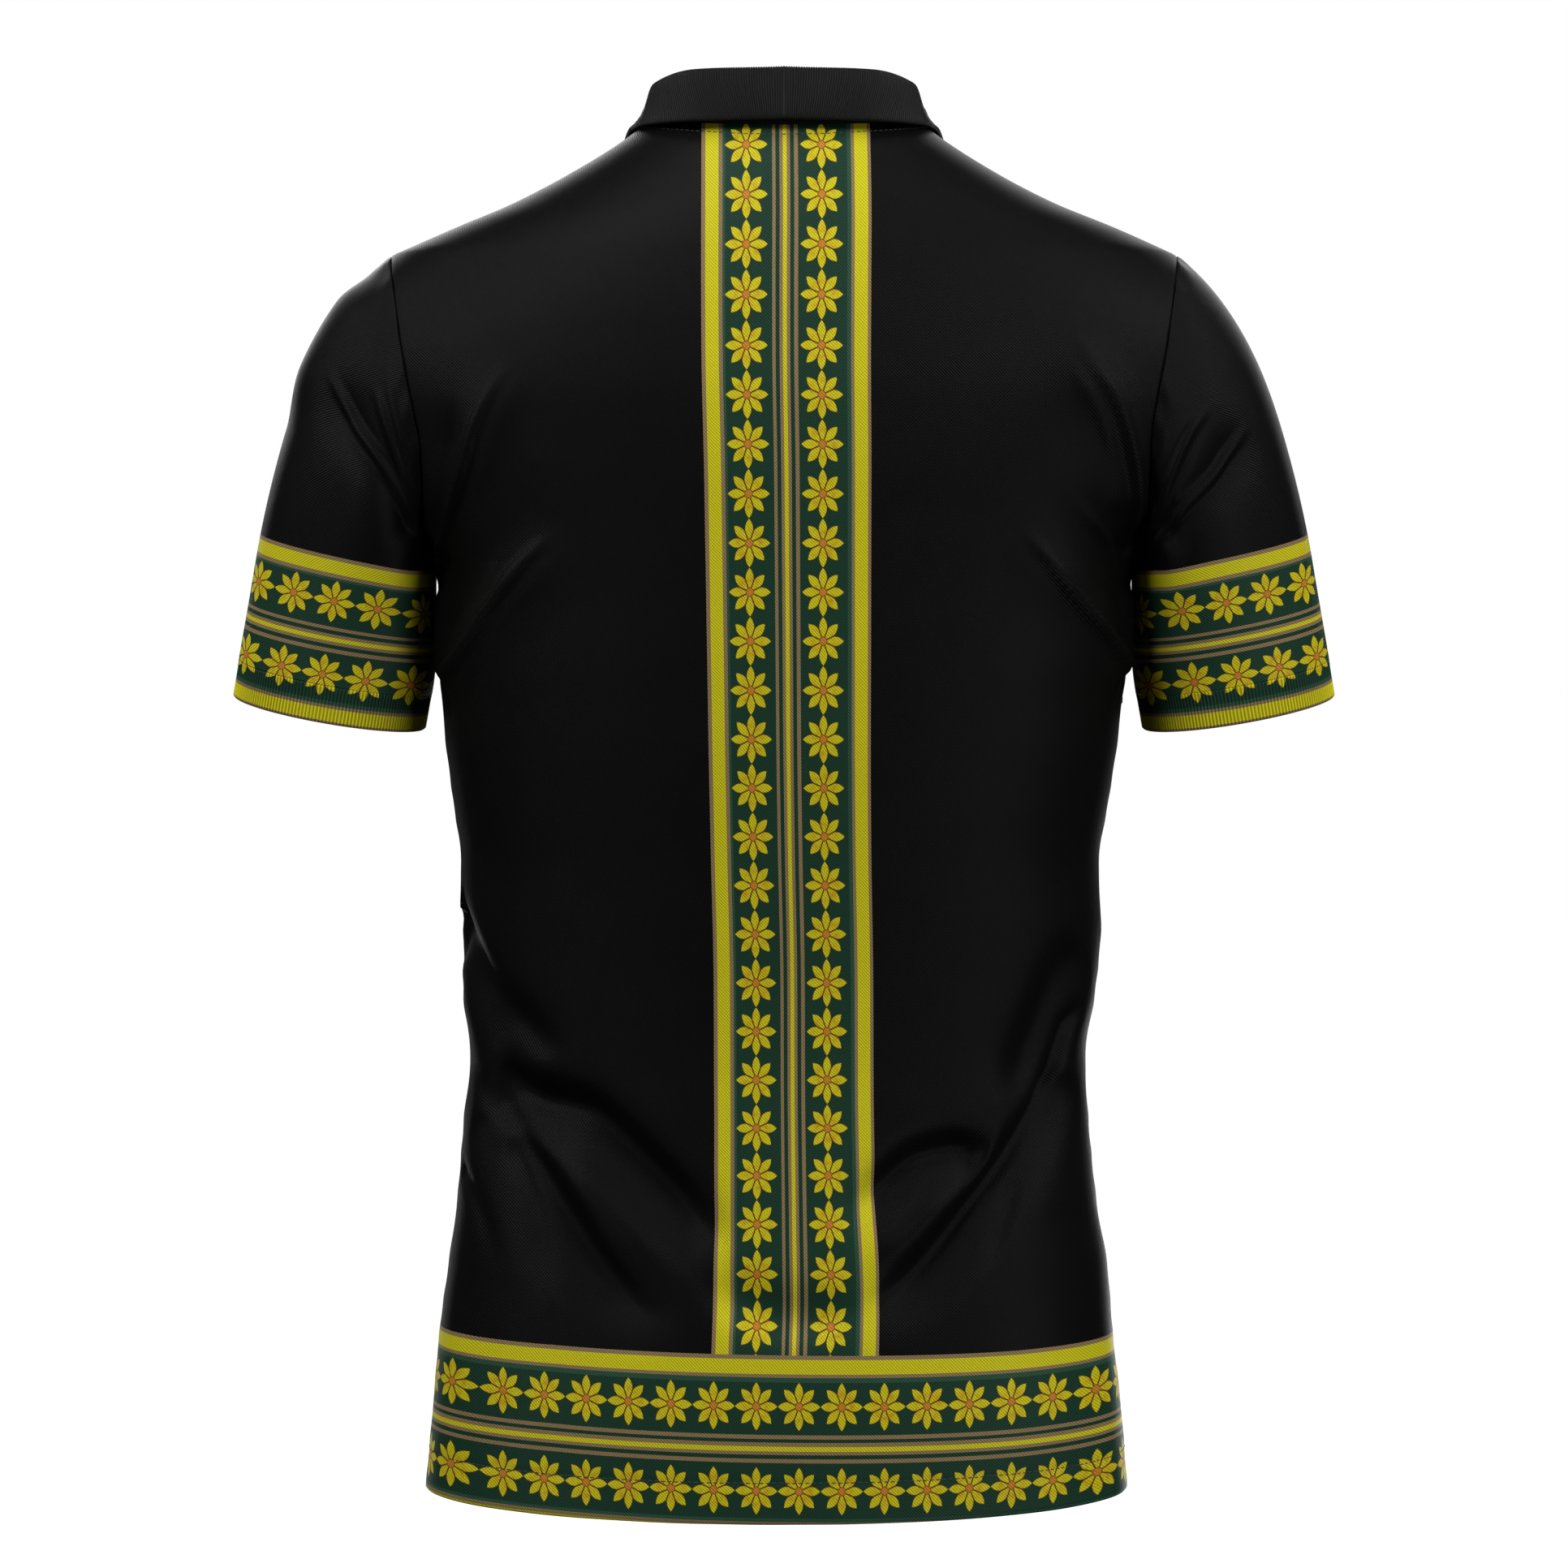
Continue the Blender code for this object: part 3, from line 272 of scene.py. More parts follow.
SLEEVE_FOLDS = {
    LEFT: (
        Fold("back crease", BACK, -0.5, 1.5, 1.3, 0.3, 0.1, 0,
             ((23.4, 57.8), (22.4, 55.6), (20.5, 53.0), (19.3, 51.0), (18.7, 49.6))),
        Fold("front crease", FRONT, -0.45, 1.4, 1.3, 0.3, 0.1, 0,
             ((23.0, 56.2), (21.2, 53.4), (19.9, 51.2), (19.0, 49.8))),
        Fold("outer swell", BACK, 0.45, 3.0, 3.0, 0.3, 0.35, 0,
             ((21.0, 63.6), (23.2, 61.0), (24.8, 58.0), (25.8, 55.2))),
    ),
    RIGHT: (
        Fold("back crease", BACK, -0.5, 1.4, 1.3, 0.3, 0.1, 0,
             ((23.8, 55.4), (22.3, 52.6), (20.9, 51.0), (19.2, 49.2))),
        Fold("front crease", FRONT, -0.45, 1.4, 1.3, 0.3, 0.1, 0,
             ((22.4, 57.0), (21.0, 54.0), (19.8, 51.8), (19.1, 50.2))),
    ),
}

# Finer creases, which lie on the folds above
BODY_CREASES = (
    Fold("left side valley", BACK, -0.25, 0.9, 0.8, 0.4, 0.3, 0,
         ((16.8, 30.5), (15.4, 26.6), (13.3, 24.6), (12.0, 23.6), (10.9, 22.6))),
    Fold("left waist valley", BACK, -0.72, 0.9, 0.7, 0.2, 0.3, 0,
         ((15.3, 22.4), (12.9, 20.9), (10.4, 20.4), (7.8, 18.4), (5.4, 16.1), (3.9, 14.6), (2.0, 13.2))),
    Fold("left waist lobe", BACK, 0.22, 0.8, 0.8, 0.35, 0.35, 0,
         ((15.0, 24.6), (13.0, 22.9), (11.2, 21.8))),
    Fold("left hip valley", BACK, -0.36, 0.6, 0.55, 0.25, 0.3, 0,
         ((16.0, 21.9), (15.3, 20.8), (14.6, 19.7), (13.0, 18.0), (11.2, 15.4), (9.6, 13.0),
          (8.4, 11.6), (7.2, 10.5), (5.2, 9.6))),
    Fold("left seam crease", BACK, -0.22, 0.5, 0.5, 0.4, 0.4, 0,
         ((16.3, 22.6), (15.8, 21.7), (15.3, 20.7), (14.0, 17.7), (12.4, 14.2), (11.5, 12.0), (10.9, 10.5))),
    Fold("left swell", BACK, 0.25, 1.1, 1.1, 0.3, 0.3, 0,
         ((11.8, 18.2), (8.2, 14.8), (5.2, 11.9))),
    Fold("left seam pull", BACK, -0.2, 0.5, 0.5, 0.1, 0.5, 0,
         ((16.8, 17.0), (15.4, 14.4), (14.5, 11.6))),
    Fold("right side valley", BACK, -0.22, 0.9, 0.8, 0.2, 0.4, 0,
         ((-15.1, 28.8), (-13.6, 26.4), (-12.1, 22.8), (-10.9, 20.4))),
    Fold("right hip valley", BACK, -0.58, 0.55, 0.5, 0.1, 0.3, 0,
         ((-15.7, 25.8), (-14.7, 24.2), (-14.1, 22.5), (-13.2, 20.4), (-12.0, 18.5), (-11.1, 17.3),
          (-9.3, 15.2), (-7.2, 12.8), (-4.9, 10.8), (-3.6, 10.0))),
    Fold("right swag valley", BACK, -0.52, 0.7, 0.6, 0.15, 0.4, 0,
         ((-10.8, 17.8), (-8.8, 18.4), (-6.8, 18.0), (-5.1, 16.7), (-2.6, 14.6))),
    Fold("right fine crease", BACK, -0.22, 0.45, 0.45, 0.3, 0.4, 0.5,
         ((-12.4, 17.3), (-11.2, 14.3), (-10.2, 11.7))),
    Fold("right swell", BACK, 0.18, 1.0, 1.0, 0.3, 0.3, 0,
         ((-8.6, 16.4), (-6.6, 14.8), (-4.4, 12.6))),
    Fold("middle swag", BACK, -0.75, 1.4, 0.9, 0.35, 0.35, 0,
         ((4.8, 12.4), (3.2, 11.3), (1.4, 10.3), (-0.6, 9.9), (-2.4, 10.1), (-4.2, 11.3))),
    Fold("left armhole hollow", BACK, -0.42, 0.9, 0.9, 0.35, 0.15, 0,
         ((17.0, 56.6), (17.2, 54.0), (17.5, 51.4), (17.9, 49.2))),
    Fold("right armhole hollow", BACK, -0.35, 0.8, 0.8, 0.35, 0.12, 0,
         ((-17.0, 51.5), (-17.4, 50.0), (-17.9, 48.6))),
    Fold("left arm crease", BACK, 0.38, 0.42, 0.42, 0.35, 0.08, 1.5,
         ((13.6, 58.3), (14.7, 56.9), (15.4, 55.3), (16.0, 53.3), (16.8, 51.1), (17.5, 49.1), (17.9, 47.8))),
    Fold("left lower crease", BACK, 0.36, 0.45, 0.45, 0.35, 0.08, 1.5,
         ((11.4, 49.7), (13.0, 48.2), (14.4, 46.1), (15.8, 44.1), (17.3, 42.3))),
    Fold("left second crease", BACK, 0.13, 0.4, 0.4, 0.4, 0.3, 1.5,
         ((12.4, 47.3), (13.7, 45.9), (15.1, 43.9), (16.6, 42.0))),
    Fold("right arm crease", BACK, 0.34, 0.42, 0.42, 0.35, 0.08, 1.5,
         ((-14.4, 59.8), (-15.5, 58.1), (-16.6, 56.4), (-17.4, 54.2), (-17.8, 51.7), (-17.8, 48.9))),
    Fold("right arm second crease", BACK, 0.12, 0.38, 0.38, 0.35, 0.3, 1.5,
         ((-14.2, 58.2), (-15.2, 56.7), (-16.1, 55.0), (-16.8, 53.0))),
    Fold("right short crease", BACK, 0.22, 0.4, 0.4, 0.35, 0.1, 1.5,
         ((-14.6, 51.4), (-15.7, 50.3), (-16.8, 48.9), (-17.5, 46.6))),
    Fold("right lower crease", BACK, 0.36, 0.45, 0.45, 0.35, 0.08, 1.5,
         ((-11.8, 50.0), (-13.2, 48.3), (-14.6, 46.3), (-16.3, 44.4), (-17.4, 43.0))),
    Fold("left front valley", FRONT, -0.4, 1.0, 0.7, 0.1, 0.4, 0,
         ((16.4, 27.6), (15.1, 25.4), (13.2, 23.6), (11.3, 21.2), (9.0, 19.2), (7.0, 17.5))),
    Fold("left front fine crease", FRONT, -0.28, 0.6, 0.6, 0.1, 0.4, 0,
         ((16.0, 23.2), (13.9, 21.4), (12.4, 19.1), (11.2, 16.0))),
    Fold("left front hem valley", FRONT, -0.3, 0.8, 0.6, 0.1, 0.4, 0,
         ((15.7, 21.6), (14.2, 18.4), (12.6, 16.3), (10.6, 12.9), (9.0, 10.2))),
    Fold("right front valley", FRONT, -0.35, 0.9, 0.7, 0.1, 0.4, 0,
         ((-16.2, 28.6), (-14.6, 26.9), (-13.2, 25.4), (-11.7, 22.7), (-10.2, 20.6), (-8.8, 17.4))),
    Fold("right front hem valley", FRONT, -0.35, 0.8, 0.6, 0.1, 0.4, 0,
         ((-15.0, 22.6), (-13.2, 20.3), (-11.7, 17.6), (-10.0, 15.2), (-8.2, 13.9), (-5.2, 11.8))),
    Fold("right front fine crease", FRONT, -0.25, 0.6, 0.6, 0.2, 0.4, 0,
         ((-15.9, 20.6), (-14.4, 17.0), (-13.7, 14.0), (-13.5, 11.4))),
    Fold("left chest crease", FRONT, 0.29, 0.42, 0.42, 0.35, 0.1, 1.5,
         ((11.8, 55.0), (13.3, 53.9), (14.8, 52.2), (16.2, 50.6), (17.7, 48.9))),
    Fold("left rib crease", FRONT, 0.26, 0.45, 0.45, 0.35, 0.1, 1.5,
         ((9.6, 47.9), (11.6, 47.2), (13.4, 45.9), (15.6, 44.3), (17.5, 41.8))),
    Fold("right chest crease", FRONT, 0.29, 0.42, 0.42, 0.35, 0.1, 1.5,
         ((-12.6, 56.6), (-14.2, 55.2), (-15.7, 52.7), (-16.9, 51.1), (-17.8, 49.1))),
    Fold("right rib crease", FRONT, 0.23, 0.45, 0.45, 0.35, 0.1, 1.5,
         ((-10.3, 46.9), (-12.4, 46.0), (-14.3, 44.1), (-16.1, 43.0), (-17.5, 41.0))),
)
SLEEVE_CREASES = {
    LEFT: (
        Fold("outer crease", BACK, 0.23, 0.4, 0.4, 0.25, 0.06, 1.5,
             ((23.4, 58.3), (22.9, 56.9), (22.2, 55.3), (20.5, 53.0), (19.1, 50.8), (18.4, 49.2))),
        Fold("middle crease", BACK, 0.19, 0.36, 0.36, 0.3, 0.08, 1.5,
             ((21.0, 57.5), (20.3, 55.0), (19.6, 53.0), (18.9, 51.1), (18.4, 49.8))),
        Fold("inner crease", BACK, 0.14, 0.34, 0.34, 0.35, 0.1, 1.5,
             ((20.3, 58.3), (19.8, 55.5), (19.1, 53.3), (18.6, 51.4))),
        Fold("armpit hollow", BACK, -0.3, 0.8, 0.8, 0.4, 0.1, 0,
             ((19.2, 55.4), (18.8, 53.2), (18.5, 51.2), (18.4, 49.6))),
        Fold("front outer crease", FRONT, 0.23, 0.4, 0.4, 0.25, 0.1, 1.5,
             ((23.6, 57.4), (22.5, 55.4), (21.0, 53.3), (19.7, 51.2), (18.9, 49.9))),
        Fold("front inner crease", FRONT, 0.16, 0.36, 0.36, 0.35, 0.1, 1.5,
             ((20.9, 57.0), (20.2, 54.7), (19.4, 52.5), (18.8, 50.9))),
    ),
    RIGHT: (
        Fold("outer crease", BACK, 0.23, 0.4, 0.4, 0.25, 0.06, 1.5,
             ((23.9, 55.4), (23.2, 54.1), (22.1, 52.5), (20.7, 51.1), (19.3, 49.7), (18.6, 48.9))),
        Fold("inner crease", BACK, 0.2, 0.38, 0.38, 0.3, 0.08, 1.5,
             ((22.0, 56.4), (20.7, 54.7), (19.9, 53.0), (19.1, 51.1), (18.4, 49.6))),
        Fold("innermost crease", BACK, 0.12, 0.34, 0.34, 0.4, 0.15, 1.5,
             ((19.6, 55.6), (19.1, 53.8), (18.7, 52.0))),
        Fold("front outer crease", FRONT, 0.23, 0.4, 0.4, 0.25, 0.1, 1.5,
             ((23.0, 58.0), (22.0, 55.8), (20.8, 53.8), (19.6, 51.6), (19.0, 50.3))),
        Fold("front inner crease", FRONT, 0.14, 0.36, 0.36, 0.35, 0.1, 1.5,
             ((21.4, 59.0), (20.5, 56.2), (19.7, 53.9), (19.1, 52.1))),
    ),
}

# Room kept at the edges of a piece's map, and between the parts of it
MAP_EDGE, MAP_STEP = 0.005, 0.01

# Fields for the cut of a cloth piece: width, length and area in metres, and how it is held; none is filled in
# here
Cut = namedtuple("Cut", "width length area held")

# Colours
def srgb(red, green, blue):
    """Linear colour from screen values of 0 to 255."""
    share = np.array((red, green, blue)) / 255.0
    return tuple(np.where(share <= 0.04045, share / 12.92, ((share + 0.055) / 1.055) ** 2.4).tolist())


BLACK = srgb(12, 12, 13)
RIB_BLACK = srgb(30, 30, 31)
THREAD = srgb(62, 62, 62)
BUTTON_BLACK = srgb(30, 30, 32)
# Near-black of the buttons' holes: painted shade, as the holes are shallow dishes that do not go through
HOLE_SHADE_BLACK = srgb(8, 8, 8)
YELLOW = srgb(216, 208, 33)
GREEN = srgb(33, 64, 49)
LIGHT_GREEN = srgb(50, 86, 66)
TAN = srgb(148, 125, 88)
OUTLINE = srgb(160, 104, 24)
FLECK = srgb(208, 150, 30)
DISC = srgb(206, 140, 50)
DISC_RING = srgb(170, 96, 44)

# Stripes of a printed band from one edge to the other
Stripe = namedtuple("Stripe", "width colour")
WIDE_BAND = (
    Stripe(0.18, TAN), Stripe(0.68, YELLOW), Stripe(0.19, TAN), Stripe(0.15, LIGHT_GREEN),
    Stripe(2.38, GREEN), Stripe(0.19, TAN), Stripe(0.18, GREEN), Stripe(0.19, TAN),
    Stripe(0.19, YELLOW), Stripe(0.18, TAN), Stripe(0.19, GREEN), Stripe(0.19, TAN),
    Stripe(2.51, GREEN), Stripe(0.19, LIGHT_GREEN), Stripe(0.17, TAN), Stripe(0.68, YELLOW),
    Stripe(0.19, TAN),
)
HEM_BAND = (
    Stripe(0.18, TAN), Stripe(0.73, YELLOW), Stripe(0.15, TAN), Stripe(0.24, LIGHT_GREEN),
    Stripe(2.57, GREEN), Stripe(0.22, TAN), Stripe(0.16, GREEN), Stripe(0.2, TAN),
    Stripe(0.25, YELLOW), Stripe(0.17, TAN), Stripe(0.19, GREEN), Stripe(0.2, TAN),
    Stripe(2.77, GREEN), Stripe(0.19, LIGHT_GREEN), Stripe(0.14, TAN), Stripe(0.3, YELLOW),
)
# Where a band lies, its scale, the middles of its two rows of flowers, half a
# flower's width across the band, the flowers' spacing and where one is centred
Band = namedtuple("Band", "stripes scale rows half pitch first")
DOWN_BACK = Band(WIDE_BAND, 1.0, (2.285, 6.116), 1.1, 2.4875, 69.4)
ROUND_HEM = Band(HEM_BAND, 1.0, (2.5, 6.68), 1.19, 2.2, -0.65)
ROUND_SLEEVE = Band(WIDE_BAND, 1.005, (2.3, 6.15), 1.1, 2.22, -0.1)
DOWN_BACK_EDGE, DOWN_BACK_DRIFT = 3.8, 0.5 / 70
HEM_BAND_TOP = 8.36

# A flower, in shares of its half-width: its petals' shape, the eighth of a turn
# that bounds one, the gap between two, the outline, and the middle's two discs
PETAL_POWER, PETAL_WIDTH, PETAL_SLOPE, PETAL_GAP = 1.25, 0.8, 0.414, 0.016
OUTLINE_WIDTH, RING_RADIUS, DISC_RADIUS = 0.022, 0.2, 0.15
# Darker flecks halfway along the petals: their grain, where they start, how sharply
FLECK_GRAIN, FLECK_FROM, FLECK_RISE = 260.0, 0.42, 3.0

# Cloth's surface: pitch of its diagonal lines and how much finer they cross, the
# grain and span of its wear, how dark the painted shade in its grooves is, gloss, relief and fuzz
KNIT_PITCH, KNIT_CROSSING = 0.165, 1.1
WEAR_GRAIN, WEAR_DARK, WEAR_LIGHT = 45.0, 0.8, 1.25
KNIT_GROOVE_SHADE, RIB_GROOVE_SHADE = 0.45, 0.62
CLOTH_ROUGH, THREAD_GLOSS, CLOTH_SPECULAR = 0.52, 0.1, 0.06
RELIEF, RELIEF_HEIGHT = 0.35, 0.0004
FUZZ_GRAIN, FUZZ = 120.0, 0.4
# Plain surfaces: the span of their colour's grain and of their roughness
GRAIN_DARK, GRAIN_LIGHT, GRAIN_ROUGH = 0.75, 1.3, 0.08

# How the print on the back was pulled while it was sewn and worn: slid down,
# slid to the wearer's right, and drawn narrower
Pull = namedtuple("Pull", "height down right narrow")
PULLS = (
    Pull(8.4, -0.02, 0.12, 0.976),
    Pull(11.0, -0.12, 0.2, 0.976),
    Pull(15.0, -0.05, 0.18, 0.95),
    Pull(21.0, 0.25, 0.16, 0.932),
    Pull(27.0, 0.34, 0.18, 0.932),
    Pull(33.5, 0.42, 0.1, 0.936),
    Pull(39.5, 0.52, 0.06, 0.945),
    Pull(46.0, 0.6, 0.06, 0.957),
    Pull(52.0, 0.66, 0.06, 0.97),
    Pull(58.0, 0.64, 0.02, 0.985),
    Pull(62.0, 0.47, 0.04, 0.993),
    Pull(67.0, 0.2, 0.08, 1.0),
    Pull(69.4, 0.0, 0.08, 1.0),
)
# Near the hem the print also closes up beside the side seams and tilts: how much,
# from where and over how far
HEM_PULL_HEIGHT = 9.0
SIDE_PULL, SIDE_PULL_FROM, SIDE_PULL_OVER = 0.9, 15.0, 3.5
HEM_TILT, HEM_TILT_OVER = 0.16, 12.0
SLEEVE_BAND_TOP = 8.65
SLEEVE_PRINT_SLIDE = 0.2

# Ripples: heights of the general unevenness, of the puckers beside the seams, of
# the groove at the hem's stitches and of the wave along the hem, and their widths
RIPPLE = 0.03
PUCKER, PUCKER_WIDTH = 0.035, 0.7
ARMHOLE_PUCKER, ARMHOLE_PUCKER_DEPTH, ARMHOLE_PUCKER_WIDTH = 0.045, 0.3, 0.55
HEM_GROOVE, HEM_GROOVE_WIDTH = 0.035, 0.16
HEM_WAVE, HEM_WAVE_WIDTH = 0.02, 1.6

# Stitches: along a seam, round a buttonhole, through a button, and inside a seam,
# where they overlap
Stitch = namedtuple("Stitch", "length space radius")
TOPSTITCH = Stitch(0.24, 0.09, 0.024)
TACK = Stitch(0.11, 0.01, 0.03)
CROSS = Stitch(0.27, 0.0, 0.034)
SEAMING = Stitch(0.5, -0.16, 0.05)
# A stitch's rings: place along it, share of its radius, and how deep it dips
STITCH_FORM = (
    (-0.5, 0.25, -0.9), (-0.42, 0.75, -0.4), (-0.2, 1.0, 0.0),
    (0.2, 1.0, 0.0), (0.42, 0.75, -0.4), (0.5, 0.25, -0.9),
)
SIDES_OF_THREAD = 6
NECK_STITCH_DROP = 0.68
STRIP_STITCH_INSET, BOX_HEIGHT = 0.2, 2.4
BUTTONHOLE_HALF_WIDTH, BUTTONHOLE_HALF_HEIGHT = 0.09, 0.8
HOLE_PLACE, HOLE_RADIUS, HOLE_EDGE, HOLE_DEPTH = 0.1, 0.068, 0.025, 0.14

# A button's turned section, in shares of its radius and thickness: the top's
# heights at their reach, the rings outside its dish, and the last ones' heights
BUTTON_TOP = ((0.0, 0.58), (0.55, 0.62), (0.72, 0.94), (0.8, 1.0), (0.88, 0.99), (0.96, 0.9), (1.0, 0.75))
BUTTON_RINGS = (0.44, 0.5, 0.58, 0.66, 0.72, 0.8, 0.88, 0.94, 0.98, 1.0, 1.0, 0.97, 0.85, 0.0)
BUTTON_SIDE = (0.35, 0.12, 0.0, 0.0)
BUTTON_SEGMENTS = 72
# Height of the thread's cross in the button, as a share of its thickness
CROSS_LEVEL = 0.6

# Camera: where it stands, and the width of what it sees at the shirt
CAMERA_PLACE = (0.0, 2.6, -0.3435)
CAMERA_SEES = 0.8211
SENSOR = 36.0
FLOOR_DROP, FLOOR_REACH = 0.55, 30
# Light of the surround that falls on the shirt; the camera sees it white
SURROUND_LIGHT = 0.04
WHITE = (1.0, 1.0, 1.0, 1.0)

# Soft square lights, in metres and watts, all aimed at one point
LIT = (0.0, 0.0, -0.3)
Light = namedtuple("Light", "name place size power")
LIGHTS = (
    Light("top", (0.0, 0.2, 2.6), 1.2, 30.0),
    Light("left", (2.4, 0.0, 1.3), 1.0, 16.0),
    Light("right", (-2.4, 0.0, 1.3), 1.0, 18.0),
    Light("back high left", (1.7, 1.7, 1.6), 1.1, 50.0),
    Light("back high right", (-1.7, 1.7, 1.6), 1.1, 36.0),
    Light("back low left", (1.7, 1.7, -1.1), 0.9, 9.0),
    Light("back low right", (-1.7, 1.7, -1.1), 0.9, 25.0),
    Light("front high left", (0.9, -2.4, 0.7), 1.1, 22.5),
    Light("front high right", (-0.9, -2.4, 0.7), 1.1, 16.2),
    Light("front low left", (0.9, -2.4, -1.1), 0.9, 4.05),
    Light("front low right", (-0.9, -2.4, -1.1), 0.9, 11.25),
)


def column(table, name):
    """One named column of a table."""
    return np.array([getattr(row, name) for row in table], float)


def smooth(places, values, at):
    """Monotone cubic through values given at rising places."""
    step = np.diff(places)
    rise = np.diff(values) / step
    slope = np.concatenate(([rise[0]], np.zeros(len(rise) - 1), [rise[-1]]))
    before, after = rise[:-1], rise[1:]
    same_way = before * after > 0
    slope[1:-1][same_way] = (2 * before * after)[same_way] / (before + after)[same_way]
    at = np.clip(at, places[0], places[-1])
    cell = np.clip(np.searchsorted(places, at, side="right") - 1, 0, len(step) - 1)
    t = (at - places[cell]) / step[cell]
    level = (1 + 2 * t) * (1 - t) ** 2 * values[cell] + t * t * (3 - 2 * t) * values[cell + 1]
    tilt = t * (1 - t) ** 2 * slope[cell] + t * t * (t - 1) * slope[cell + 1]
    return level + step[cell] * tilt


def read(table, name, at, by="height"):
    """A column of a table, read smoothly at places in another column."""
    return smooth(column(table, by), column(table, name), np.asarray(at, float))


def unit(vectors):
    """The vectors with length one."""
    return vectors / np.maximum(np.linalg.norm(vectors, axis=-1, keepdims=True), 1e-9)


def ease(share):
    """Rises smoothly from 0 to 1 as the share does."""
    share = np.clip(share, 0, 1)
    return share * share * (3 - 2 * share)


def run_length(points):
    """Length along a line of points, from its start to each of them."""
    steps = np.linalg.norm(np.diff(points, axis=0), axis=1)
    return np.concatenate(([0.0], np.cumsum(steps)))


def depth_and_power(height, face):
    """Depth of the section at a height, and the power of its oval."""
    name = "back" if face == BACK else "front"
    low = height <= ARMPIT
    depth = np.where(low, read(BODY, name, height), read(YOKE, name, height))
    power = np.where(low, read(BODY, "power", height), read(YOKE, "power", height))
    return depth, power


def section_reach(across, height, face):
    """Half-width of the oval on which the panel lies at a height."""
    depth, power = depth_and_power(height, face)
    side = np.where(across >= 0, read(BODY, "left", height), read(BODY, "right", height))
    rise = np.clip((height - ARMPIT) / (SHOULDER_TIP - ARMPIT), 0, 1)
    arm_y = ARMHOLE_DEPTH * 2 * np.sqrt(rise * (1 - rise))
    yoke = read(ARMHOLE, "reach", height) / (1 - (arm_y / depth) ** power) ** (1 / power)
    ridge = read(SHOULDER, "reach", height)
    return np.where(height <= ARMPIT, side, np.where(height <= SHOULDER_TIP, yoke, ridge))


def panel_depth(across, height, face):
    """How far the panel lies from the plane of the side seams."""
    depth, power = depth_and_power(height, face)
    share = np.clip(np.abs(across) / section_reach(across, height, face), 0, 1)
    return depth * (1 - share ** power) ** (1 / power), share


def on_panel(across, height, face):
    """Points of the smooth back or front panel, evened out across the armpit's height."""
    across, height = np.broadcast_arrays(np.asarray(across, float), np.asarray(height, float))
    share = panel_depth(across, height, face)[1]
    reach = EVEN_OVER * (1 - share ** 4) * np.exp(-((height - ARMPIT) / EVEN_OVER) ** 2)
    out = np.mean([panel_depth(across, height + step * reach, face)[0] for step in EVEN_STEPS], axis=0)
    return np.stack((across, face * out, height), -1)


def neckline(across, face):
    """Height of the neckline, on the back or the front."""
    share = np.clip(np.abs(across) / NECK_SIDE, 0, 1)
    if face == BACK:
        return BACK_NECK + BACK_NECK_RISE * share ** BACK_NECK_CURVE
    return FRONT_NECK + FRONT_NECK_RISE * share ** FRONT_NECK_CURVE


def top_height(across, face):
    """Height of a panel's top edge: the neckline, then the shoulder seam."""
    reach = column(SHOULDER, "reach")[::-1]
    height = column(SHOULDER, "height")[::-1]
    shoulder = smooth(reach, height, np.abs(across))
    return np.where(np.abs(across) < NECK_SIDE, neckline(across, face), shoulder)


def ring_places():
    """Places of a half panel's columns on the ring at the armpit."""
    ring = BODY[-1]
    turn = np.linspace(0, np.pi / 2, FINE)
    x = ring.left * np.sin(turn) ** (2 / ring.power)
    y = ring.back * np.cos(turn) ** (2 / ring.power)
    run = run_length(np.stack((x, y), -1))
    first = np.interp(PLACKET_HALF, x, run)
    inner, outer = np.linspace(0, first, PLACKET_CELLS + 1), np.linspace(first, run[-1], SIDE_CELLS + 1)
    return np.interp(np.concatenate((inner, outer[1:])), run, x)


def top_places(face):
    """Places of a half panel's columns on its top edge."""
    x = np.linspace(PLACKET_HALF, NECK_SIDE - 1e-6, FINE)
    run = run_length(on_panel(x, neckline(x, face), face))
    neck = np.interp(np.linspace(0, run[-1], NECK_CELLS + 1), run, x)
    neck[-1] = NECK_SIDE
    x = np.linspace(NECK_SIDE, SHOULDER[0].reach, FINE)
    run = run_length(np.stack((x, top_height(x, face)), -1))
    shoulder = np.interp(np.linspace(0, run[-1], SHOULDER_CELLS + 1), run, x)
    return np.concatenate((ring_places()[:PLACKET_CELLS], neck, shoulder[1:]))


def mirrored(half):
    """A half row from the middle out, made a whole row from right to left."""
    return np.concatenate((-half[:0:-1], half))


def row_heights():
    """Heights of the rows from hem to armpit, closest round the hem's stitching."""
    return np.concatenate((HEM_ROWS, BODY_ROWS))


def rise_shares():
    """Rise of the rows above the armpit, evenly spaced round the armhole."""
    return (1 - np.cos(np.pi * np.linspace(0, 1, ARMHOLE_ROWS + 1)[1:])) / 2


def hem_drop(share, height):
    """How much lower the cloth hangs in the middle, and higher at the side seams."""
    return (HEM_DROP - (HEM_DROP + SIDE_RISE) * share ** 2) * ease(1 - height / DROP_OVER)


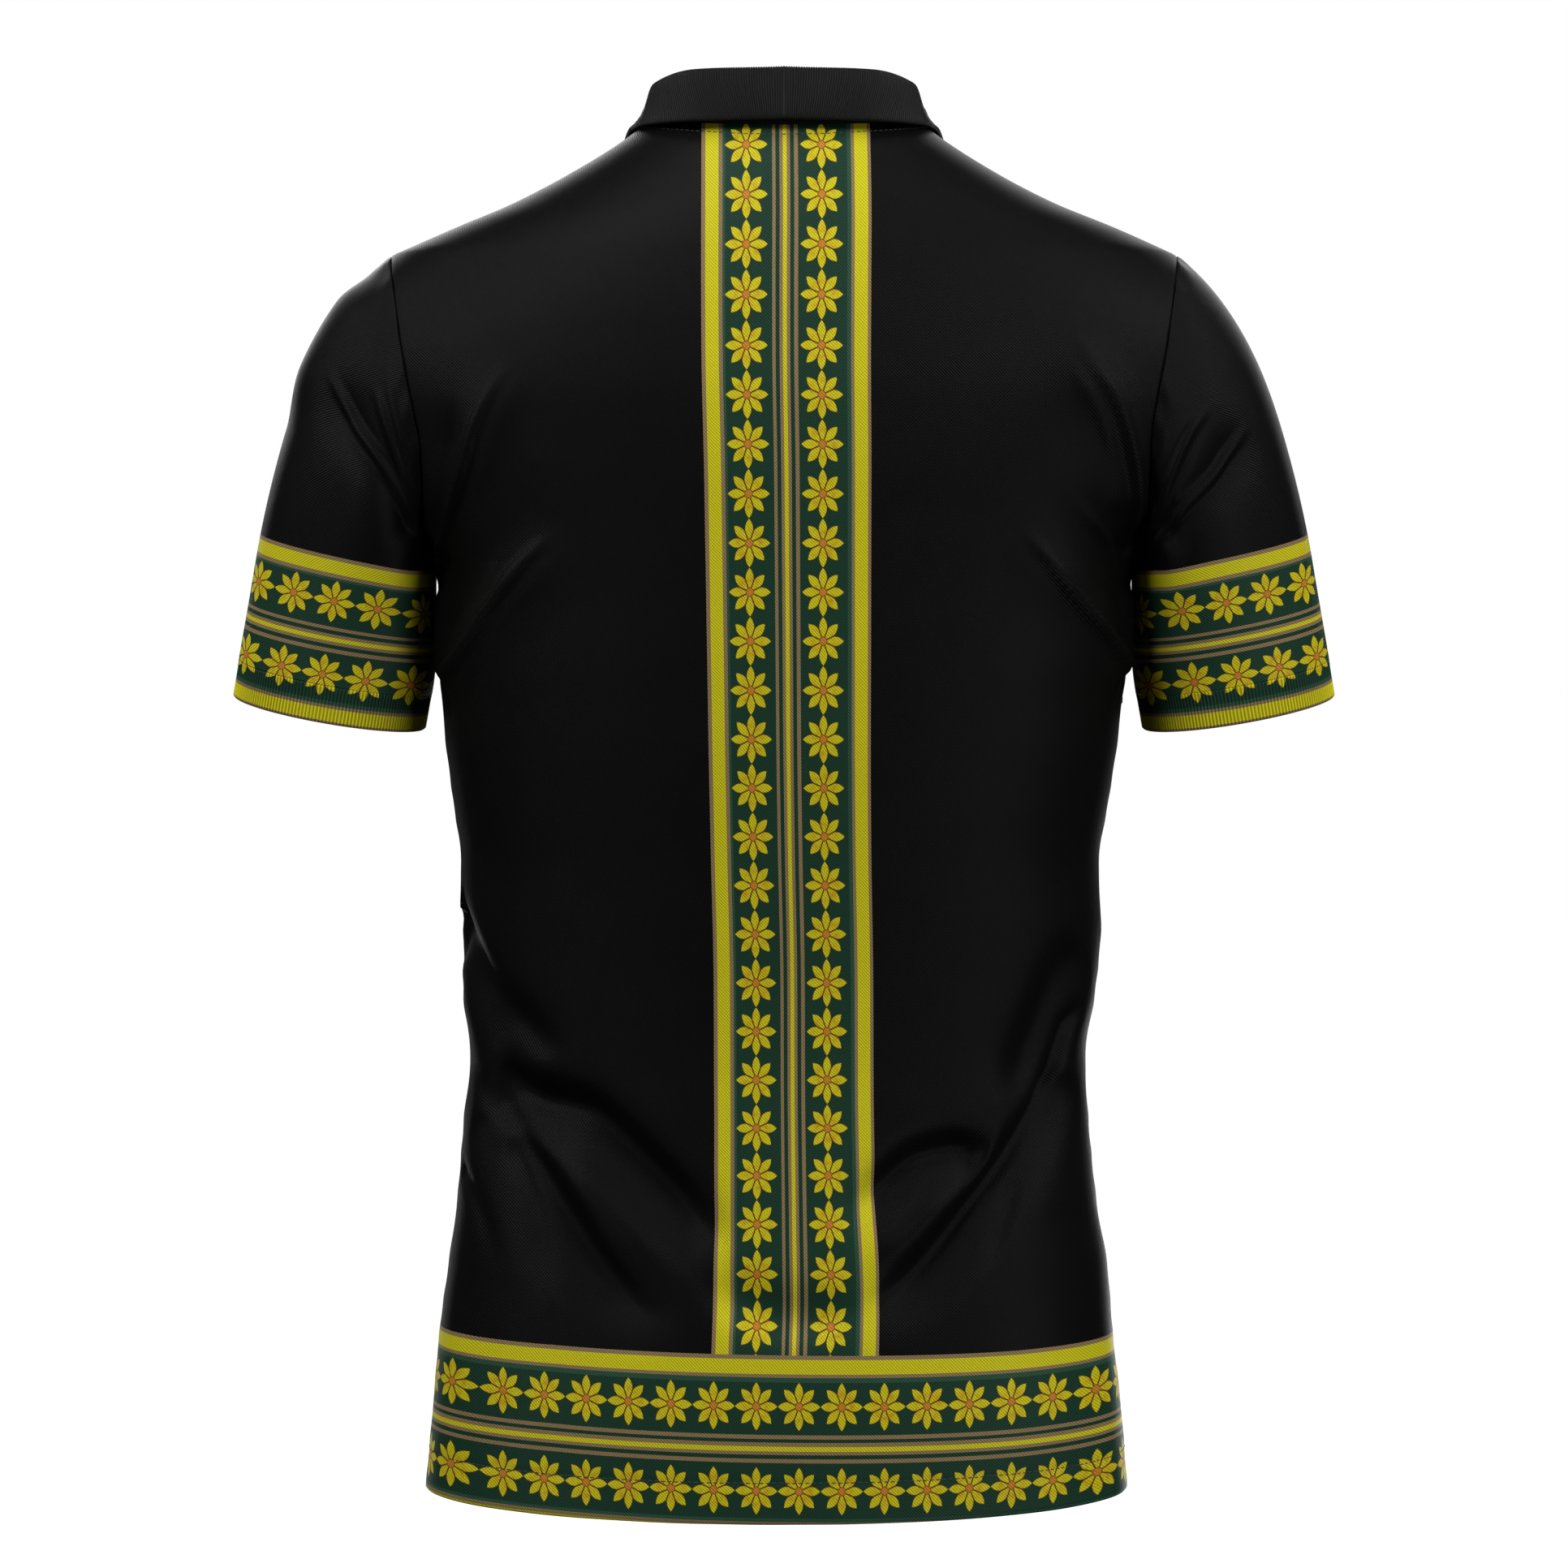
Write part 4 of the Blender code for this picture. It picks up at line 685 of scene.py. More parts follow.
def panel_points(face):
    """Grid of the smooth panel: rows from hem to top, columns right to left."""
    ring_x = mirrored(ring_places())
    share = ring_x / BODY[-1].left
    low_z = row_heights()[:, None]
    width = np.where(share > 0, read(BODY, "left", low_z), read(BODY, "right", low_z))
    low_x = ring_x + (width - BODY[-1].left) * share * np.abs(share) ** 2
    low = on_panel(low_x, low_z + 0 * low_x, face)
    low[..., 2] -= hem_drop(share, low_z)
    top_x = mirrored(top_places(face))
    rise = rise_shares()[:, None]
    arm = read(ARMHOLE, "reach", ARMPIT + (SHOULDER_TIP - ARMPIT) * rise)
    high_x = (share + (top_x / SHOULDER[0].reach - share) * rise) * arm
    middle = np.abs(ring_x) <= PLACKET_HALF + 1e-6
    high_x[:, middle] = ring_x[middle]
    high_z = ARMPIT + (top_height(top_x, face) - ARMPIT) * rise
    high = on_panel(high_x, high_z, face)
    high[-1, np.abs(top_x) >= NECK_SIDE, 1] = 0.0
    return np.concatenate((low, high))


ARM_ROW = len(row_heights()) - 1
TOP_ROW = ARM_ROW + ARMHOLE_ROWS
NECK_RIGHT, NECK_LEFT = HALF - PLACKET_CELLS - NECK_CELLS, HALF + PLACKET_CELLS + NECK_CELLS
LOW_ROWS = np.arange(ARM_ROW + 1)
# Right and left: a panel's edge column, the way inward, and the shoulder's columns
SIDES = ((0, 1, np.arange(NECK_RIGHT + 1)), (LAST_COLUMN, -1, np.arange(NECK_LEFT, LAST_COLUMN + 1)))


class Sheet:
    """A grid of points on the outside of a piece, with its wall's direction."""

    def __init__(self, points, closed=False):
        self.points = points
        self.closed = closed
        self.shift = np.zeros_like(points)
        self.refresh()

    def refresh(self):
        """Works the normals out again from the points."""
        along = np.gradient(self.points, axis=0)
        if self.closed:
            across = np.roll(self.points, -1, axis=1) - np.roll(self.points, 1, axis=1)
        else:
            across = np.gradient(self.points, axis=1)
        normals = unit(np.cross(across, along))
        middle = self.points.mean(axis=(0, 1))
        if self.closed:
            middle = self.points.mean(axis=1, keepdims=True)
        if (normals * (self.points - middle)).sum() < 0:
            normals = -normals
        self.normals = normals
        self.lean = normals.copy()

    def wall(self, thickness, lift=0.0):
        """Outer and inner points of the wall."""
        square = np.clip((self.lean * self.normals).sum(-1, keepdims=True), MOST_SLANT, 1)
        outer = self.points + self.shift + lift * self.normals
        return outer, outer - self.lean * thickness / square


def fold_line(fold, ground):
    """The line of a fold laid on the ground points, finely divided."""
    line = np.array(fold.line)
    places = np.arange(len(line), dtype=float)
    fine = np.linspace(0, places[-1], LINE_STEPS * len(line))
    across = smooth(places, line[:, 0], fine)
    height = smooth(places, line[:, 1], fine)
    return ground(across, height, fold.face)


def fold_offsets(points, folds, ground):
    """How far the folds move each point out along its normal."""
    flat = points.reshape(-1, 3)
    trough = np.zeros(len(flat))
    ridge = np.zeros(len(flat))
    for fold in folds:
        line = fold_line(fold, ground)
        run = run_length(line)
        reach = FOLD_REACH * max(fold.above, fold.below)
        near_by = ((flat > line.min(axis=0) - reach) & (flat < line.max(axis=0) + reach)).all(axis=1)
        if not near_by.any():
            continue
        away = flat[near_by][:, None, :] - line[None, :-1, :]
        step = np.diff(line, axis=0)
        share = (away * step).sum(-1) / np.maximum((step * step).sum(-1), 1e-9)
        share = np.clip(share, 0, 1)
        away = away - share[..., None] * step
        near = (away ** 2).sum(-1).argmin(axis=1)
        rows = np.arange(len(near))
        gap = away[rows, near]
        along = (run[near] + share[rows, near] * np.diff(run)[near]) / run[-1]
        width = np.where(gap[:, 2] > 0, fold.above, fold.below)
        fade = ease(along / fold.start) * ease((1 - along) / fold.finish)
        nearness = (gap ** 2).sum(-1) / width ** 2
        offset = fold.depth * fade * np.exp(-nearness) * (1 - fold.flank * nearness)
        trough[near_by] += np.minimum(offset, 0) ** BLEND
        ridge[near_by] += np.maximum(offset, 0) ** BLEND
    return (ridge ** (1 / BLEND) - trough ** (1 / BLEND)).reshape(points.shape[:-1])


def body_ground(across, height, face):
    """Points of the smooth body below a fold's line."""
    reach = section_reach(across, height, face)
    return on_panel(np.clip(across, -reach, reach), height, face)


def shared(one, other, rows, columns):
    """Gives two sheets the same normals where their edges meet."""
    both = unit(one.normals[rows, columns] + other.normals[rows, columns])
    for sheet in (one, other):
        sheet.normals[rows, columns] = both
        sheet.lean[rows, columns] = both


def part_seam(points, near, far, near_normal, far_normal):
    """Direction that parts two edges, and the lean of each wall there."""
    into_near = unit(near - points)
    into_far = unit(far - points)
    apart = unit(into_near - into_far)
    both = unit(near_normal + far_normal)
    valley = (near_normal * into_far).sum(-1, keepdims=True) > 0
    turn = (near_normal * far_normal).sum(-1, keepdims=True)
    own = np.where(valley, ease((MITRE_FROM - turn) / MITRE_OVER), 0.0)
    near_lean = unit(both * (1 - own) + near_normal * own)
    far_lean = unit(both * (1 - own) + far_normal * own)
    return apart, near_lean, far_lean


def panel_seams():
    """Rows and columns along the side seams, then the shoulder seams, and the ones beside them."""
    for edge, inward, _ in SIDES:
        yield LOW_ROWS, 0 * LOW_ROWS + edge, LOW_ROWS, 0 * LOW_ROWS + edge + inward
    for _, _, shoulder in SIDES:
        yield 0 * shoulder + TOP_ROW, shoulder, 0 * shoulder + TOP_ROW - 1, shoulder


def join_panels(back, front):
    """Side and shoulder seams between the two panels."""
    for rows, columns, in_rows, in_columns in panel_seams():
        into_back = unit(back.points[in_rows, in_columns] - back.points[rows, columns])
        into_front = unit(front.points[in_rows, in_columns] - front.points[rows, columns])
        apart = unit(into_back - into_front)
        back.shift[rows, columns] += apart * GAP / 2
        front.shift[rows, columns] -= apart * GAP / 2
        shared(back, front, rows, columns)


def share_edges(back, front):
    """Makes the normals of both panels agree along their common edges."""
    for rows, columns, _, _ in panel_seams():
        shared(back, front, rows, columns)


def panel_cut(points):
    """Places of a panel's points on its cut: across from the middle, and up from the hem."""
    step = np.diff(points, axis=1)
    run = np.maximum(step[..., 0], PANEL_SHARE * np.linalg.norm(step[..., :2], axis=-1))
    across = np.concatenate((0 * run[:, :1], np.cumsum(run, axis=1)), axis=1)
    across -= across[:, HALF:HALF + 1]
    up = points[..., 2].copy()
    up[:ARM_ROW + 1] = row_heights()[:, None]
    return np.stack((across, up), -1)


def pulled(cut):
    """The back's cut with its print pulled out of true."""
    down, right, narrow = (read(PULLS, name, cut[..., 1]) for name in ("down", "right", "narrow"))
    across, height = (cut[..., 0] + right) / narrow, cut[..., 1] + down
    low = ease(2 - cut[..., 1] / HEM_PULL_HEIGHT)
    beside = ease((np.abs(across) - SIDE_PULL_FROM) / SIDE_PULL_OVER)
    across = across - SIDE_PULL * low * np.sign(across) * beside
    height = height - HEM_TILT * low * np.clip(across / HEM_TILT_OVER, -1, 1)
    return np.stack((across, height), -1)


def panel_ripple(cut):
    """Slight unevenness of a panel, with puckers beside its seams."""
    across, up = cut[..., 0], cut[..., 1]
    slow = np.sin(across / 2.3 + 0.4 * np.sin(up / 4.1))
    wave = RIPPLE * slow * np.sin(up / 3.7 + 0.6 * np.sin(across / 3.3))
    edge = np.minimum(across[:, -1:] - across, across - across[:, :1])
    beside = np.exp(-(edge / PUCKER_WIDTH) ** 2) * (up < ARMPIT)
    wave += PUCKER * beside * np.sin(up * 2.6 + 1.2 * np.sin(up * 0.7))
    hem = np.exp(-((up - HEM_TURN) / HEM_GROOVE_WIDTH) ** 2)
    wave -= HEM_GROOVE * hem * (0.7 + 0.3 * np.sin(across * 2.9 + np.sin(across)))
    sway = HEM_WAVE * np.sin(across * 1.3 + 0.8 * np.sin(across * 0.4))
    return wave + sway * np.exp(-(up / HEM_WAVE_WIDTH) ** 2)


def make_panels():
    """The back and the front, folded and parted at their seams, and their cuts."""
    back = Sheet(panel_points(BACK))
    front = Sheet(panel_points(FRONT))
    cuts = panel_cut(back.points), panel_cut(front.points)
    share_edges(back, front)
    for sheet, cut in zip((back, front), cuts):
        offset = fold_offsets(sheet.points, BODY_FOLDS, body_ground)
        offset = offset + fold_offsets(sheet.points, BODY_CREASES, body_ground) + panel_ripple(cut)
        sheet.points = sheet.points + sheet.normals * offset[..., None]
    for edge, _, _ in SIDES:
        meet = (back.points[LOW_ROWS, edge] + front.points[LOW_ROWS, edge]) / 2
        back.points[LOW_ROWS, edge] = front.points[LOW_ROWS, edge] = meet
    for sheet in (back, front):
        sheet.refresh()
    join_panels(back, front)
    return back, front, cuts


def armhole_loop(hand):
    """Rows and panels round an armhole, from the armpit up the back."""
    up = np.arange(ARM_ROW, TOP_ROW + 1)
    down = np.arange(TOP_ROW - 1, ARM_ROW, -1)
    edge, inside = (LAST_COLUMN, LAST_COLUMN - 1) if hand == LEFT else (0, 1)
    return up, down, edge, inside


def cuff_ring(turn):
    """Points and normals of the left sleeve's end, where the rib cuff is sewn on."""
    down = -unit(np.cross(CUFF_OUT, CUFF_BACK))
    centre = CUFF_CENTRE - down * CUFF_DEPTH
    out, back = np.outer(-np.cos(turn), CUFF_OUT), np.outer(np.sin(turn), CUFF_BACK)
    points = centre + out * CUFF_HALF_WIDTH + back * CUFF_HALF_DEPTH
    return points, unit(out / CUFF_HALF_WIDTH + back / CUFF_HALF_DEPTH), down


def sleeve_points(loop, turn):
    """Grid of a left sleeve from its armhole loop to the rib cuff's seam."""
    end, _, down = cuff_ring(turn)
    top, side, under = -np.cos(turn), np.abs(np.sin(turn)), np.cos(turn)
    pull = np.zeros((len(turn), 3))
    for amount, leave in ((top, LEAVE_TOP), (side, LEAVE_SIDE), (under, LEAVE_UNDER)):
        pull += np.outer(np.clip(amount, 0, 1) ** 2, leave.direction * leave.length)
    reach = np.linalg.norm(end - loop, axis=1)
    arrive = np.outer(reach, down)
    v = np.linspace(0, 1, SLEEVE_ROWS + 1)[:, None, None]
    return ((1 + 2 * v) * (1 - v) ** 2 * loop + v * (1 - v) ** 2 * pull
            + v * v * (3 - 2 * v) * end + v * v * (v - 1) * arrive)


def tube_cut(points, start, hand):
    """Places on a tube's cut: round from the middle of its back, and up from the cuff's edge."""
    ring = np.concatenate((points, points[:, :1]), axis=1)
    step = np.diff(ring, axis=1)
    run = np.maximum(np.abs(step @ CUFF_OUT), SLEEVE_SHARE * np.linalg.norm(step, axis=-1))
    around = np.concatenate((0 * run[:, :1], np.cumsum(run, axis=1)), axis=1)
    middle = points.shape[1] // 4
    up = np.linalg.norm(np.diff(ring, axis=0), axis=-1)[::-1]
    up = np.concatenate((0 * up[:1], np.cumsum(up, axis=0)))[::-1] + start
    return np.stack((around[:, middle:middle + 1] - around + SLEEVE_PRINT_SLIDE * hand, up), -1)


def sleeve_ripple(cut):
    """Puckers where a sleeve is set in, and slight unevenness."""
    around, up = cut[..., 0], cut[..., 1]
    depth = up[:1] - up
    seam = np.exp(-((depth - ARMHOLE_PUCKER_DEPTH) / ARMHOLE_PUCKER_WIDTH) ** 2)
    wave = ARMHOLE_PUCKER * seam * np.sin(around * 4.7 + 1.3 * np.sin(around * 0.9))
    slow = RIPPLE * np.sin(around / 1.9 + np.sin(up / 2.7)) * np.sin(up / 2.9)
    return wave + slow * ease(depth / 3) * ease(up / 4 - 0.5)


def make_sleeve(back, front, hand):
    """A sleeve's sheet, parted from both panels at the armhole."""
    up, down, edge, inside = armhole_loop(hand)
    loop = np.concatenate((back.points[up, edge], front.points[down, edge]))
    near = np.concatenate((back.points[up, inside], front.points[down, inside]))
    lean = np.concatenate((back.lean[up, edge], front.lean[down, edge]))
    near[0] = (back.points[ARM_ROW - 1, edge] + front.points[ARM_ROW - 1, edge]) / 2
    near[ARMHOLE_ROWS] = (back.points[TOP_ROW, inside] + front.points[TOP_ROW, inside]) / 2
    mirror = np.array((hand, 1.0, 1.0))
    turn = np.arange(len(loop)) * np.pi / ARMHOLE_ROWS
    points = sleeve_points(loop * mirror, turn)
    sleeve = Sheet(points, closed=True)
    cut = tube_cut(points, CUFF_DEPTH, hand)

    def sleeve_ground(across, height, face):
        """Points of the sleeve nearest to a fold's line as seen from outside."""
        flat = points[:, np.sin(turn) * face > 0].reshape(-1, 3)
        seen = np.stack((np.abs(across), height), -1)
        apart = ((flat[None, :, (0, 2)] - seen[:, None, :]) ** 2).sum(-1)
        weight = np.exp((apart.min(axis=1, keepdims=True) - apart) / SLEEVE_NEAREST)
        depth = (weight * flat[:, 1]).sum(axis=1) / weight.sum(axis=1)
        return np.stack((seen[:, 0], depth, height), -1)

    fade = ease(np.linspace(0, SLEEVE_FADE, SLEEVE_ROWS + 1))[:, None]
    fade = fade * ease(np.linspace(SLEEVE_FADE, 0, SLEEVE_ROWS + 1))[:, None]
    offset = fold_offsets(points, SLEEVE_FOLDS[hand], sleeve_ground)
    offset = (offset + fold_offsets(points, SLEEVE_CREASES[hand], sleeve_ground)) * fade
    offset = offset + sleeve_ripple(cut)[:, :-1]
    sleeve.points = (points + sleeve.normals * offset[..., None]) * mirror
    sleeve.refresh()
    apart, near_lean, far_lean = part_seam(loop, near, sleeve.points[1], lean, sleeve.normals[0])
    sleeve.shift[0] = -apart * GAP / 2
    sleeve.lean[0] = far_lean
    count = len(up)
    back.shift[up, edge] += apart[:count] * GAP / 2
    back.lean[up, edge] = near_lean[:count]
    ends = np.concatenate(([0], np.arange(len(loop) - 1, count - 1, -1), [count - 1]))
    rows = np.concatenate(([ARM_ROW], down[::-1], [TOP_ROW]))
    front.shift[rows, edge] += apart[ends] * GAP / 2
    front.lean[rows, edge] = near_lean[ends]
    sleeve.lean[-1] = cuff_ring(turn)[1] * mirror
    return sleeve, cut


def cuff_down():
    """How far each row of the cuff lies below its seam."""
    return np.linspace(CUFF_START, CUFF_DEPTH, CUFF_ROWS + 1)[:, None, None]


def make_cuff(hand):
    """The ribbed band that carries on from the sleeve's last ring, and its cut."""
    mirror = np.array((hand, 1.0, 1.0))
    count = CUFF_RIBS * RIB_STEPS
    turn = np.arange(count) * 2 * np.pi / count
    ring, normals, down = cuff_ring(turn)
    points = ring - normals * CUFF_STEP * ease(cuff_down() / CUFF_STEP_OVER) + cuff_down() * down
    cut = tube_cut(points, 0.0, hand)
    cuff = Sheet(points * mirror, closed=True)
    cuff.normals = np.broadcast_to(normals * mirror, cuff.points.shape).copy()
    cuff.lean = cuff.normals.copy()
    return cuff, cut


def collar_seam(back, front):
    """Points, leans and upward directions along the neckline, left to right."""
    rows = []
    for sheet, columns in (
        (front, np.arange(HALF, NECK_LEFT)),
        (back, np.arange(NECK_LEFT, NECK_RIGHT - 1, -1)),
        (front, np.arange(NECK_RIGHT + 1, HALF + 1)),
    ):
        points = sheet.points[TOP_ROW, columns]
        rise = unit(points - sheet.points[TOP_ROW - 3, columns])
        rows.append(np.concatenate((points, sheet.lean[TOP_ROW, columns], rise), axis=1))
    seam = np.concatenate(rows)
    run = run_length(seam[:, :3])
    fine = np.linspace(COLLAR_END, run[-1] - COLLAR_END, COLLAR_RIBS * RIB_STEPS + 1)
    seam = np.stack([np.interp(fine, run, part) for part in seam.T], -1)
    return seam[:, 0:3], unit(seam[:, 3:6]), unit(seam[:, 6:9])


def bezier(points, share):
    """Points of a cubic curve, for rows of control points."""
    a, b, c, d = points
    share = share[:, None, None]
    rest = 1 - share
    return a * rest ** 3 + 3 * b * rest ** 2 * share + 3 * c * rest * share ** 2 + d * share ** 3


def make_collar(back, front):
    """The collar: a stand up from the neckline, a fold, and a fall outside it."""
    seam, lean, rise = collar_seam(back, front)
    seam = seam + rise * GAP
    run = run_length(seam)
    place = np.abs(2 * run / run[-1] - 1)
    hand = np.where(seam[:, 0] >= 0, 1.0, -1.0)
    oval = seam[:, 0] / NECK_OVAL_X, (seam[:, 1] + NECK_OVAL_BACK) / NECK_OVAL_Y
    out = unit(np.stack((*oval, 0 * place), -1))
    upward = np.array((0.0, 0.0, 1.0))
    stand = read(COLLAR, "height", place, "place")[:, None]
    fold = seam + upward * stand - out * read(COLLAR, "lean", place, "place")[:, None]
    names = ("edge_x", "edge_y", "edge_z")
    edge = np.stack([read(COLLAR, name, place, "place") for name in names], -1)
    edge[:, 0] *= hand
    bulge = out * read(COLLAR, "bulge", place, "place")[:, None]
    roll = out * COLLAR_ROLL
    inside = (seam, seam + rise * stand * STAND_FOLLOWS, fold - roll * STAND_BENDS, fold)
    outside = (fold, fold + roll, edge + (fold - edge) * FALL_BULGES + bulge, edge)
    low = bezier(inside, np.linspace(0, 1, STAND_ROWS + 1))
    high = bezier(outside, np.linspace(0, 1, FALL_ROWS + 1)[1:])
    collar = Sheet(np.concatenate((low, high)))
    if (collar.normals[0] * lean).sum() < 0:
        collar.normals = -collar.normals
        collar.lean = -collar.lean
    collar.lean[0] = lean
    collar.normals[0] = lean
    steps = np.linalg.norm(np.diff(collar.points, axis=0), axis=-1).mean(axis=1)
    up = np.cumsum(np.concatenate(([0.0], steps)))
    cut = np.stack(np.meshgrid(run - run[-1] / 2, up), -1)
    return collar, cut


def strip_sheet(half_width, low_shift):
    """A placket strip's grid on the front, from the slit's end to the neckline."""
    across = np.linspace(-half_width, half_width, STRIP_CELLS + 1)
    rise = np.concatenate(([0.0], rise_shares()))[PLACKET_ROW:, None]
    height = ARMPIT + (neckline(across, FRONT) - ARMPIT) * rise
    height = height + low_shift * (1 - (rise - rise[0]) / (1 - rise[0])) ** STRIP_END_POWER
    sheet = Sheet(on_panel(across + 0 * height, height, FRONT))
    offset = fold_offsets(sheet.points, BODY_FOLDS, body_ground)
    sheet.points = sheet.points + sheet.normals * offset[..., None]
    sheet.refresh()
    return sheet, np.stack((across + 0 * height, height), -1)


def ribbed(walls, cut, relief):
    """A wall pushed out along its ribs, and its cut with the ribs' height added."""
    outer, inner = walls
    wave = np.cos(np.arange(cut.shape[1]) * 2 * np.pi / RIB_STEPS)[None, :, None]
    push = unit(outer - inner) * relief * wave[:, :outer.shape[1]]
    height = np.broadcast_to(wave, (*cut.shape[:2], 1))
    return (outer + push, inner - push), np.concatenate((cut, height), axis=-1)


def edged(grid, closed, seams):
    """Adds a row of points inside each edge, and rounds the wall there but for the seams."""
    for axis in (0,) if closed else (0, 1):
        grid = np.swapaxes(grid, 0, axis)
        ends = []
        for end, first, second in ((0, grid[0], grid[1]), (-1, grid[-1], grid[-2])):
            gap = np.linalg.norm((second - first)[:, :3], axis=1)[:, None]
            inside = first + (second - first) * np.minimum(EDGE / np.maximum(gap, 1e-6), 0.5)
            turn = 0.0 if end in seams else EDGE_ROUND
            rim = first.copy()
            rim[:, 0:3] += turn * (first[:, 3:6] - first[:, 0:3])
            rim[:, 3:6] += turn * (first[:, 0:3] - first[:, 3:6])
            ends.append((rim, inside))
        (low, low_in), (high, high_in) = ends
        grid = np.concatenate((low[None], low_in[None], grid[1:-1], high_in[None], high[None]))
        grid = np.swapaxes(grid, 0, axis)
    return grid


def add_shell(name, node, slot, walls, cut, looks, closed=False, cells=None,
              shown=0.8, seams=()):
    """A thin closed shell on a node's form, its cut's map, and a map that favours the shown face."""
    outer, inner = walls
    if closed:
        outer, inner = (np.concatenate((part, part[:, :1]), axis=1) for part in (outer, inner))
    grid = edged(np.concatenate((outer, inner, cut), axis=-1), closed, seams)
    if cells is None:
        cells = np.ones((grid.shape[0] - 1, grid.shape[1] - 1), bool)
    rows, columns = grid.shape[:2]
    width = columns - 1 if closed else columns
    ids = np.arange(rows)[:, None] * width + np.arange(columns) % width
    across, up = np.meshgrid(np.linspace(0, 1, columns), np.linspace(0, 1, rows))
    maps = np.stack((across, up, grid[..., 6], grid[..., 7], ids), -1)
    corners = np.stack((maps[:-1, :-1], maps[:-1, 1:], maps[1:, 1:], maps[1:, :-1]), axis=2)[cells]
    a, b, d = (grid[:-1, :-1, :3][cells], grid[:-1, 1:, :3][cells], grid[1:, :-1, :3][cells])
    away = (grid[..., :3] - grid[..., 3:6])[:-1, :-1][cells]
    if (np.cross(b - a, d - a) * away).sum() < 0:
        corners = corners[:, ::-1]
    faces = corners[..., 4].astype(int)
    layer = rows * width
    start, end = faces, np.roll(faces, -1, axis=1)
    free = ~np.isin(start * layer + end, end * layer + start)
    rim_start, rim_end = corners[free], np.roll(corners, -1, axis=1)[free]
    rim = np.stack((rim_end, rim_start, rim_start, rim_end), axis=1)
    place = np.linspace(0, 1, len(rim) + 1)
    rim[:, :, 0] = (0.0, 0.0, 1.0, 1.0)
    rim[:, :, 1] = np.stack((place[1:], place[:-1], place[:-1], place[1:]), -1)
    rim_faces = rim[..., 4].astype(int) + np.array((0, 0, layer, layer))
    mesh = bpy.data.meshes.new(name)
    points = np.concatenate((grid[:, :width, 0:3].reshape(-1, 3), grid[:, :width, 3:6].reshape(-1, 3)))
    everything = np.concatenate((faces, faces[:, ::-1] + layer, rim_faces))
    used = np.unique(everything)
    points = (points[used] - np.array((0.0, 0.0, NECK_POINT))) * CM
    everything = np.searchsorted(used, everything)
    mesh.from_pydata(points.tolist(), [], everything.tolist())
    if slot == "rib":
        wave = np.tile(grid[:, :width, 8].ravel(), 2)[used]
        rib = mesh.attributes.new("rib", "FLOAT", "POINT")
        rib.data.foreach_set("value", wave.astype(np.float32))
    parts = []
    for part, low, high in (
        (corners, MAP_EDGE, shown),
        (corners[:, ::-1], shown + 3 * MAP_STEP, 1 - MAP_EDGE),
        (rim, shown + MAP_STEP, shown + 2 * MAP_STEP),
    ):
        bake = part[..., :2].copy()
        bake[..., 0] = low + (high - low) * bake[..., 0]
        bake[..., 1] = MAP_EDGE + (1 - 2 * MAP_EDGE) * bake[..., 1]
        parts.append(np.concatenate((bake, part[..., 2:4]), axis=-1))
    parts = np.concatenate(parts).reshape(-1, 4)
    for map_name, columns_of in (("OFBake", slice(0, 2)), ("Cut", slice(2, 4))):
        places = mesh.uv_layers.new(name=map_name)
        places.data.foreach_set("uv", parts[:, columns_of].astype(np.float32).ravel())
    inside = np.zeros(len(everything), np.int32)
    inside[len(faces):2 * len(faces)] = len(looks) - 1
    mesh.polygons.foreach_set("material_index", inside)
    for look in looks:
        mesh.materials.append(look)
    mesh.shade_smooth()
    piece = add_piece(name, mesh, node)


def add_piece(name, mesh, node=None):
    """Puts a piece in the scene, riding on the shirt."""
    piece = bpy.data.objects.new(name, mesh)
    bpy.context.scene.collection.objects.link(piece)
    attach(piece, "root")
    if node:
        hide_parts(node)
    return piece


def inset_line(points, normals, distance, from_end=False):
    """The line at a distance inside a grid's first row, or its last."""
    if from_end:
        points, normals = points[::-1], normals[::-1]
    line = []
    for j in range(points.shape[1]):
        run = run_length(points[:, j])
        both = np.concatenate((points[:, j], normals[:, j]), axis=1)
        line.append([np.interp(distance, run, part) for part in both.T])
    line = np.array(line)
    return line[:, :3], unit(line[:, 3:])


